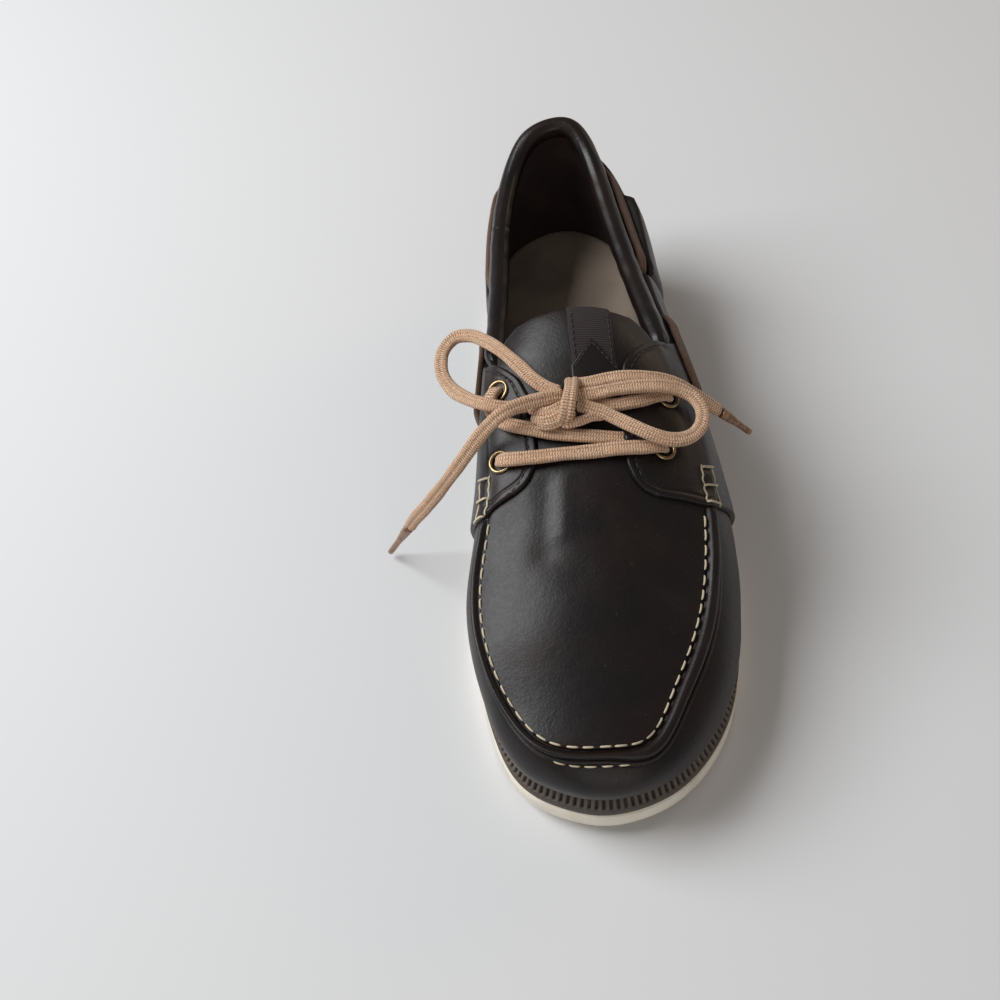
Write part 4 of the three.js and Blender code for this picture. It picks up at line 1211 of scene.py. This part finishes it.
def addRoll():
    front = float(rowAt(8.0))
    t = np.linspace(front, ringCount - front, 330)
    side, row = sideOf(t)
    y = rimY(row)
    grown = ramp((y - 9) / 11)
    radius = roll["diameter"] / 2 * (0.5 + 0.5 * grown)
    tuck = roll["tuck"] + 1.2 * (1 - grown)
    q = qAt(side, row, np.full(len(t), -roll["diameter"] / 2))
    path = skin(side, row, q, -tuck)
    outward = skinNormal(side, row, q)
    around = 36
    angle = np.arange(around) * 2 * np.pi / around
    pinch = -0.45 * np.exp(-((angle - 5.15) / 0.12) ** 2) - 0.3 * np.exp(-((angle - 3.6) / 0.1) ** 2)
    relief = pinch[None, :] + 0.1 * waves(path, 13, 41)[:, None] * np.ones(around)
    joint = np.exp(-((t - (ringCount - float(rowAt(96.0)))) / 0.012) ** 2)
    relief = relief + 0.45 * joint[:, None] + 0.05 * np.sin(angle * 9 + 2)[None]
    points, faces = sweep(path, outward, radius * 1.04, radius * 0.98, around, 0.95, relief)
    makePiece("collarRoll", points, faces, [looks["roll"]], ["collar_roll"])


addCounter()
addRoll()
print("the heel and collar are closed")

# ---- footbed, welt and outsole ----
insole = {"thickness": 4.0, "inset": 5.3}
welt = {"inset": 0.5, "ribPitch": 2.7, "ribDepth": 1.0, "stepsPerRib": 10}
tread = {"rows": [-117, -104, -91, -78, -65, -52, -39, -26, -13, 91, 104, 117], "half": 1.1, "depth": 2.0,
         "wave": 1.6, "waves": 2, "edge": 9, "across": 64, "step": 0.55}


def edgeLoop(t, inset, z):
    x, y = soleEdge(t, inset)
    return np.stack([x, y, np.broadcast_to(z, x.shape)], -1)


def rungs(row, inset, height, across):
    # points on straight rungs between the two edges of the sole
    lateral = np.stack(soleEdge(row, inset), -1)
    medial = np.stack(soleEdge(ringCount - row, inset), -1)
    share = np.linspace(0, 1, across)[None, :, None]
    flat = lateral[:, None] * (1 - share) + medial[:, None] * share
    return np.concatenate([flat, np.broadcast_to(height[:, None, None], flat.shape[:2] + (1,))], -1)


def addInsole():
    row = np.linspace(0.02, rowCount - 0.02, 150)
    bottom = rungs(row, insole["inset"], featherZ(soleY(row)), 44)
    topGrid = rungs(row, insole["inset"], featherZ(soleY(row)) + insole["thickness"], 44)
    border = np.concatenate([topGrid[:, 0], topGrid[:, -1], topGrid[0], topGrid[-1]])
    distance = nearest(topGrid, border)
    dip = ramp(distance / 14) * 0.8 + np.exp(-(distance / 1.2) ** 2)
    topGrid[..., 2] -= dip + 0.15 * waves(topGrid, 17, 51)
    points, faces = slab(topGrid[:, ::-1], bottom[:, ::-1])
    makePiece("footbed", points, faces, [looks["footbed"]], ["insole"])


def addWelt():
    length = np.concatenate([[0], np.cumsum(np.hypot(np.diff(soleX(ring)), np.diff(soleY(ring))))])
    ribs = round(length[-1] / welt["ribPitch"])
    count = ribs * welt["stepsPerRib"]
    t = np.interp(np.arange(count) / count * length[-1], length, ring)
    y = soleY(t)
    phase = np.arange(count) % welt["stepsPerRib"] / welt["stepsPerRib"]
    rib = ramp((0.5 - np.abs(phase - 0.5) - 0.1) / 0.2)
    low = floorZ(y) + outsoleHeight + 0.3
    band = featherZ(y) - (feather["front"] - bandHeight)
    top = featherZ(y) - 0.3
    profile = [(6.0, low), (0.9, low), (welt["inset"] + 0.1, low + 0.25), (welt["inset"], low + 0.7)]
    profile += [(welt["inset"], low + (band - low) * k) for k in (0.5, 0.8)]
    profile += [(welt["inset"] + 0.05, band - 0.15)]
    slope = np.linspace(0, 1, 11)
    flat = [0] * len(profile) + [1] * len(slope) + [0, 0]
    profile += [(welt["inset"] + 0.35 + (feather["inset"] + 0.2 - welt["inset"] - 0.35) * k,
                 band + 0.25 + (top - band - 0.25) * k) for k in slope]
    profile += [(feather["inset"] + 1.5, top), (6.0, top - 0.3)]
    columns, heights = [], []
    inner = np.linspace(0, 1, len(slope))
    for k, (inset, z) in enumerate(profile):
        sunk = 0.0
        # the band's own mid tone, lowered in the sunk gaps between the ribs as painted shade
        shade = np.full(count, 0.55)
        if flat[k]:
            where = inner[k - len(profile) + len(slope) + 2]
            window = ramp(where / 0.14) * ramp((1 - where) / 0.1)
            sunk = welt["ribDepth"] * (1 - rib) * window
            shade = 1 - (1 - rib) * window
        loop = edgeLoop(t, inset + sunk * 0.75, 0)
        loop[:, 2] = z - sunk * 0.65
        columns.append(loop)
        heights.append(shade)
    grid = np.stack(columns, 1)
    faces = gridFaces(count, len(profile), ringed=True)
    rows = len(profile)
    faces += [((i + 1) % count * rows, i * rows, i * rows + rows - 1, (i + 1) % count * rows + rows - 1)
              for i in range(count)]
    makePiece("weltBand", grid.reshape(-1, 3), faces, [looks["welt"]], ["welt"],
              values={"rib": np.stack(heights, 1).ravel()})


def addOutsole():
    ends = np.array([0.02, 0.08, 0.2, 0.42])        # closer rows where the outline turns across
    lengthRows = np.concatenate([-150 + ends, np.arange(-149.3, 149.3, tread["step"]), 150 - ends[::-1]])
    fineSoleY = soleY(fineRows)
    row = np.interp(lengthRows, fineSoleY, fineRows)
    half = tread["across"]
    bottom = rungs(row, 0.9, floorZ(soleY(row)) + archZ(soleY(row)), half)
    x, y = bottom[..., 0], bottom[..., 1]
    low, high = x[:, -1:] + tread["edge"], x[:, :1] - tread["edge"]
    share = (x - low) / np.maximum(high - low, 1)
    wave = tread["wave"] * np.sin(2 * np.pi * tread["waves"] * share)
    inside = ramp((x - low) / 1.2) * ramp((high - x) / 1.2)
    depth = np.zeros(x.shape)
    for place in tread["rows"]:
        near = np.abs(y - place - wave)
        depth = np.maximum(depth, 1 - ramp((near - tread["half"] + 0.35) / 0.6))
    bottom[..., 2] += tread["depth"] * depth * inside
    top = rungs(row, 0.9, floorZ(soleY(row)) + outsoleHeight, half)
    columns, rows = x.shape
    bottomFaces = gridFaces(columns, rows)
    points = np.concatenate([bottom.reshape(-1, 3), top.reshape(-1, 3)])
    count = columns * rows
    faces = list(bottomFaces) + [tuple(count + i for i in reversed(face)) for face in bottomFaces]
    # the side goes round both faces' borders in a few bulging steps
    border = [i * rows for i in range(columns)] + [(columns - 1) * rows + j for j in range(1, rows)]
    border += [i * rows + rows - 1 for i in range(columns - 2, -1, -1)] + [j for j in range(rows - 2, 0, -1)]
    edge = bottom.reshape(-1, 3)[border]
    looped = np.concatenate([edge[-1:], edge, edge[:1]])
    along = np.stack([np.gradient(looped[:, k])[1:-1] for k in (0, 1)], -1)
    outward = unit(np.stack([along[:, 1], -along[:, 0]], -1))
    base = floorZ(edge[:, 1]) + archZ(edge[:, 1])
    topZ = floorZ(edge[:, 1]) + outsoleHeight
    steps = [(0.55, 0.12), (0.85, 0.45), (0.9, 1.0), (0.9, None), (0.82, -0.5), (0.5, -0.1)]
    chain = [border]
    for out, rise in steps:
        z = (base + topZ) / 2 if rise is None else (base + rise if rise > 0 else topZ + rise)
        loop = np.concatenate([edge[:, :2] + outward * out, z[:, None]], 1)
        chain.append(list(range(len(points), len(points) + len(loop))))
        points = np.concatenate([points, loop])
    chain.append([count + i for i in border])
    n = len(border)
    for lower, upper in zip(chain[:-1], chain[1:]):
        faces += [(lower[i], lower[(i + 1) % n], upper[(i + 1) % n], upper[i]) for i in range(n)]
    makePiece("outsoleRubber", points, faces, [looks["outsole"]], ["outsole"])


addInsole()
addWelt()
addOutsole()
print("the sole is on")

# ---- stitching ----
moccasinStitch = {"pitch": 5.6, "length": 4.4, "radius": 0.4, "reach": 0.85, "lowerReach": -5.3}
whipStitch = {"bar": 0.46, "side": 0.38, "ends": (-6.5, -5.5, -4.8)}
flapStitch = {"pitch": 2.9, "length": 2.1, "radius": 0.24, "inset": 3.0}


def stitches(path, ups, pitch, length, radius, sink=0.45):
    # short threads laid along a line, with both ends going down into the leather
    run = np.concatenate([[0], np.cumsum(np.linalg.norm(np.diff(path, axis=0), axis=1))])
    parts = []
    share = np.linspace(-0.5, 0.5, 9)
    for k in range(int(run[-1] / pitch)):
        wobble = rng.uniform(-0.12, 0.12, 2)
        middle = (k + 0.5 + wobble[0] * 0.5) * pitch
        places = middle + share * length * (1 + wobble[1] * 0.5)
        line = np.stack([np.interp(places, run, path[:, j]) for j in range(3)], -1)
        up = unit(np.stack([np.interp(places, run, ups[:, j]) for j in range(3)], -1))
        line = line + up * (radius * 0.9 - (radius + sink) * np.abs(2 * share)[:, None] ** 4)
        thickness = radius * np.sqrt(1 - (np.abs(2 * share) * 0.9) ** 4)
        parts.append(sweep(line, up, thickness, thickness * 0.9, 8, 1.0))
    return parts


def seamRun(fromY, toY, reach, steps=500):
    # a line beside the moccasin seam, from the medial side round the toe to the lateral side
    start = ringCount - float(rowAt(fromY))
    end = ringCount + float(rowAt(toY))
    t = np.linspace(start, end, steps) % ringCount
    x, y, z = rim(t).T
    along = unit(np.gradient(rim(t), axis=0))
    inward = unit(np.cross((0, 0, 1), along))
    toPlug = inward[:, 0] * (-2 - x) + inward[:, 1] * (-70 - y)        # the plug's middle is at -2, -70
    inward = np.where(toPlug[:, None] > 0, inward, -inward)
    flat = rim(t) + inward * reach
    base = roofPoint(flat[:, 0], np.maximum(flat[:, 1], -137.5))
    return base, roofNormal(flat[:, 0], np.maximum(flat[:, 1], -136.2))


def threadLine(points, ups, radius):
    path, along = smoothPath(points, 0.5)
    share = np.linspace(0, 1, len(ups))
    up = np.stack([np.interp(along / along[-1], share, np.asarray(ups, float)[:, k]) for k in range(3)], -1)
    ends = np.sqrt(1 - (1 - np.clip(np.minimum(along, along[-1] - along) / 0.6, 0.05, 1)) ** 2)
    return sweep(path, up, radius * ends, radius * ends, 8, 1.0)


def onPanel(name, y, reach, lift):
    side = np.full(np.shape(y), float(sides[name]))
    return foldedSkin(side, rowAt(y), np.asarray(reach, float), np.asarray(lift, float))


def addMoccasinStitches():
    path, ups = seamRun(whipSpan["medial"][0] - 1, whipSpan["lateral"][0] - 1, moccasinStitch["reach"])
    parts = stitches(path, ups, moccasinStitch["pitch"], moccasinStitch["length"], moccasinStitch["radius"])
    t = np.linspace(float(rowAt(-137.3)), -float(rowAt(-134.2)), 60)[::-1] % ringCount
    side, row = sideOf(t)
    q = qAt(side, row, np.full(60, moccasinStitch["lowerReach"]))
    parts += stitches(skin(side, row, q, 0.15), skinNormal(side, row, q), 5.6, 4.0, 0.34)
    points, faces = joined(parts)
    makePiece("moccasinStitches", points, faces, [looks["cream"]])


def addWhipStitches():
    # bars over the rolled seam where each flap ends, shorter to the rear, tied by a thread along each side
    parts = []
    for name, (low, high) in whipSpan.items():
        bars = np.linspace(low + 0.5, high, 3) + rng.uniform(-0.4, 0.4, 3)
        starts = 0.5 + rng.uniform(-0.4, 0.4, 3)
        ends = np.array(whipStitch["ends"]) + rng.uniform(-0.3, 0.3, 3)
        for y, start, end in zip(bars, starts, ends):
            reach = np.linspace(start, end, 9)
            hump = 2.2 + 1.2 * np.sqrt(np.clip(1 - ((reach + 2.8) / 3.9) ** 2, 0, 1))
            hump[[0, -1]] -= 0.9
            yLine = y + np.linspace(rng.uniform(-0.5, 0.3), rng.uniform(0.4, 1.2), 9)
            points, ups = onPanel(name, yLine, reach, hump)
            parts.append(threadLine(points, ups, whipStitch["bar"]))
        for reaches in (starts, ends):
            yLine = np.linspace(bars[0] + 0.3, bars[-1] + 0.6, 15)
            reach = np.interp(yLine, bars, reaches) + 0.2 * np.sin(yLine * 1.7)
            points, ups = onPanel(name, yLine, reach, 2.2 + 0.25 * np.sin(np.linspace(0, 9, 15)))
            parts.append(threadLine(points, ups, whipStitch["side"]))
    points, faces = joined(parts)
    makePiece("whipStitches", points, faces, [looks["cream"]])


def addFlapStitches():
    parts = []
    for name in sides:
        y = np.linspace(-46.5, 12, 160)
        reach = flapReach(name, y) - flapStitch["inset"] * 1.05
        points, ups = onPanel(name, y, reach, np.full(len(y), panel["gap"] + panel["thickness"] - 0.2))
        parts += stitches(points, ups, flapStitch["pitch"], flapStitch["length"], flapStitch["radius"], 0.25)
    y = np.linspace(ribbon["front"] + 2, tongue["top"] - 1.0, 60)
    for x in (ribbon["left"] + 1.5, ribbon["right"] - 1.5):
        points, ups = overTop(np.full(60, x), y, 0.75), topNormal(np.full(60, x), y)
        parts += stitches(points, ups, 2.6, 2.0, 0.22, 0.2)
    peakX, peakY = chevron["peak"]
    for endX in (chevron["left"] + 0.6, chevron["right"] - 0.6):
        x = np.linspace(peakX, endX, 30)
        y = np.linspace(peakY - 1.9, chevron["shoulderY"] - 1.9, 30)
        points, ups = overTop(x, y, 1.42), topNormal(x, y)
        parts += stitches(points, ups, 2.4, 1.8, 0.22, 0.2)
    points, faces = joined(parts)
    makePiece("flapStitches", points, faces, [looks["darkThread"]])


addMoccasinStitches()
addWhipStitches()
addFlapStitches()
print("the seams are stitched")
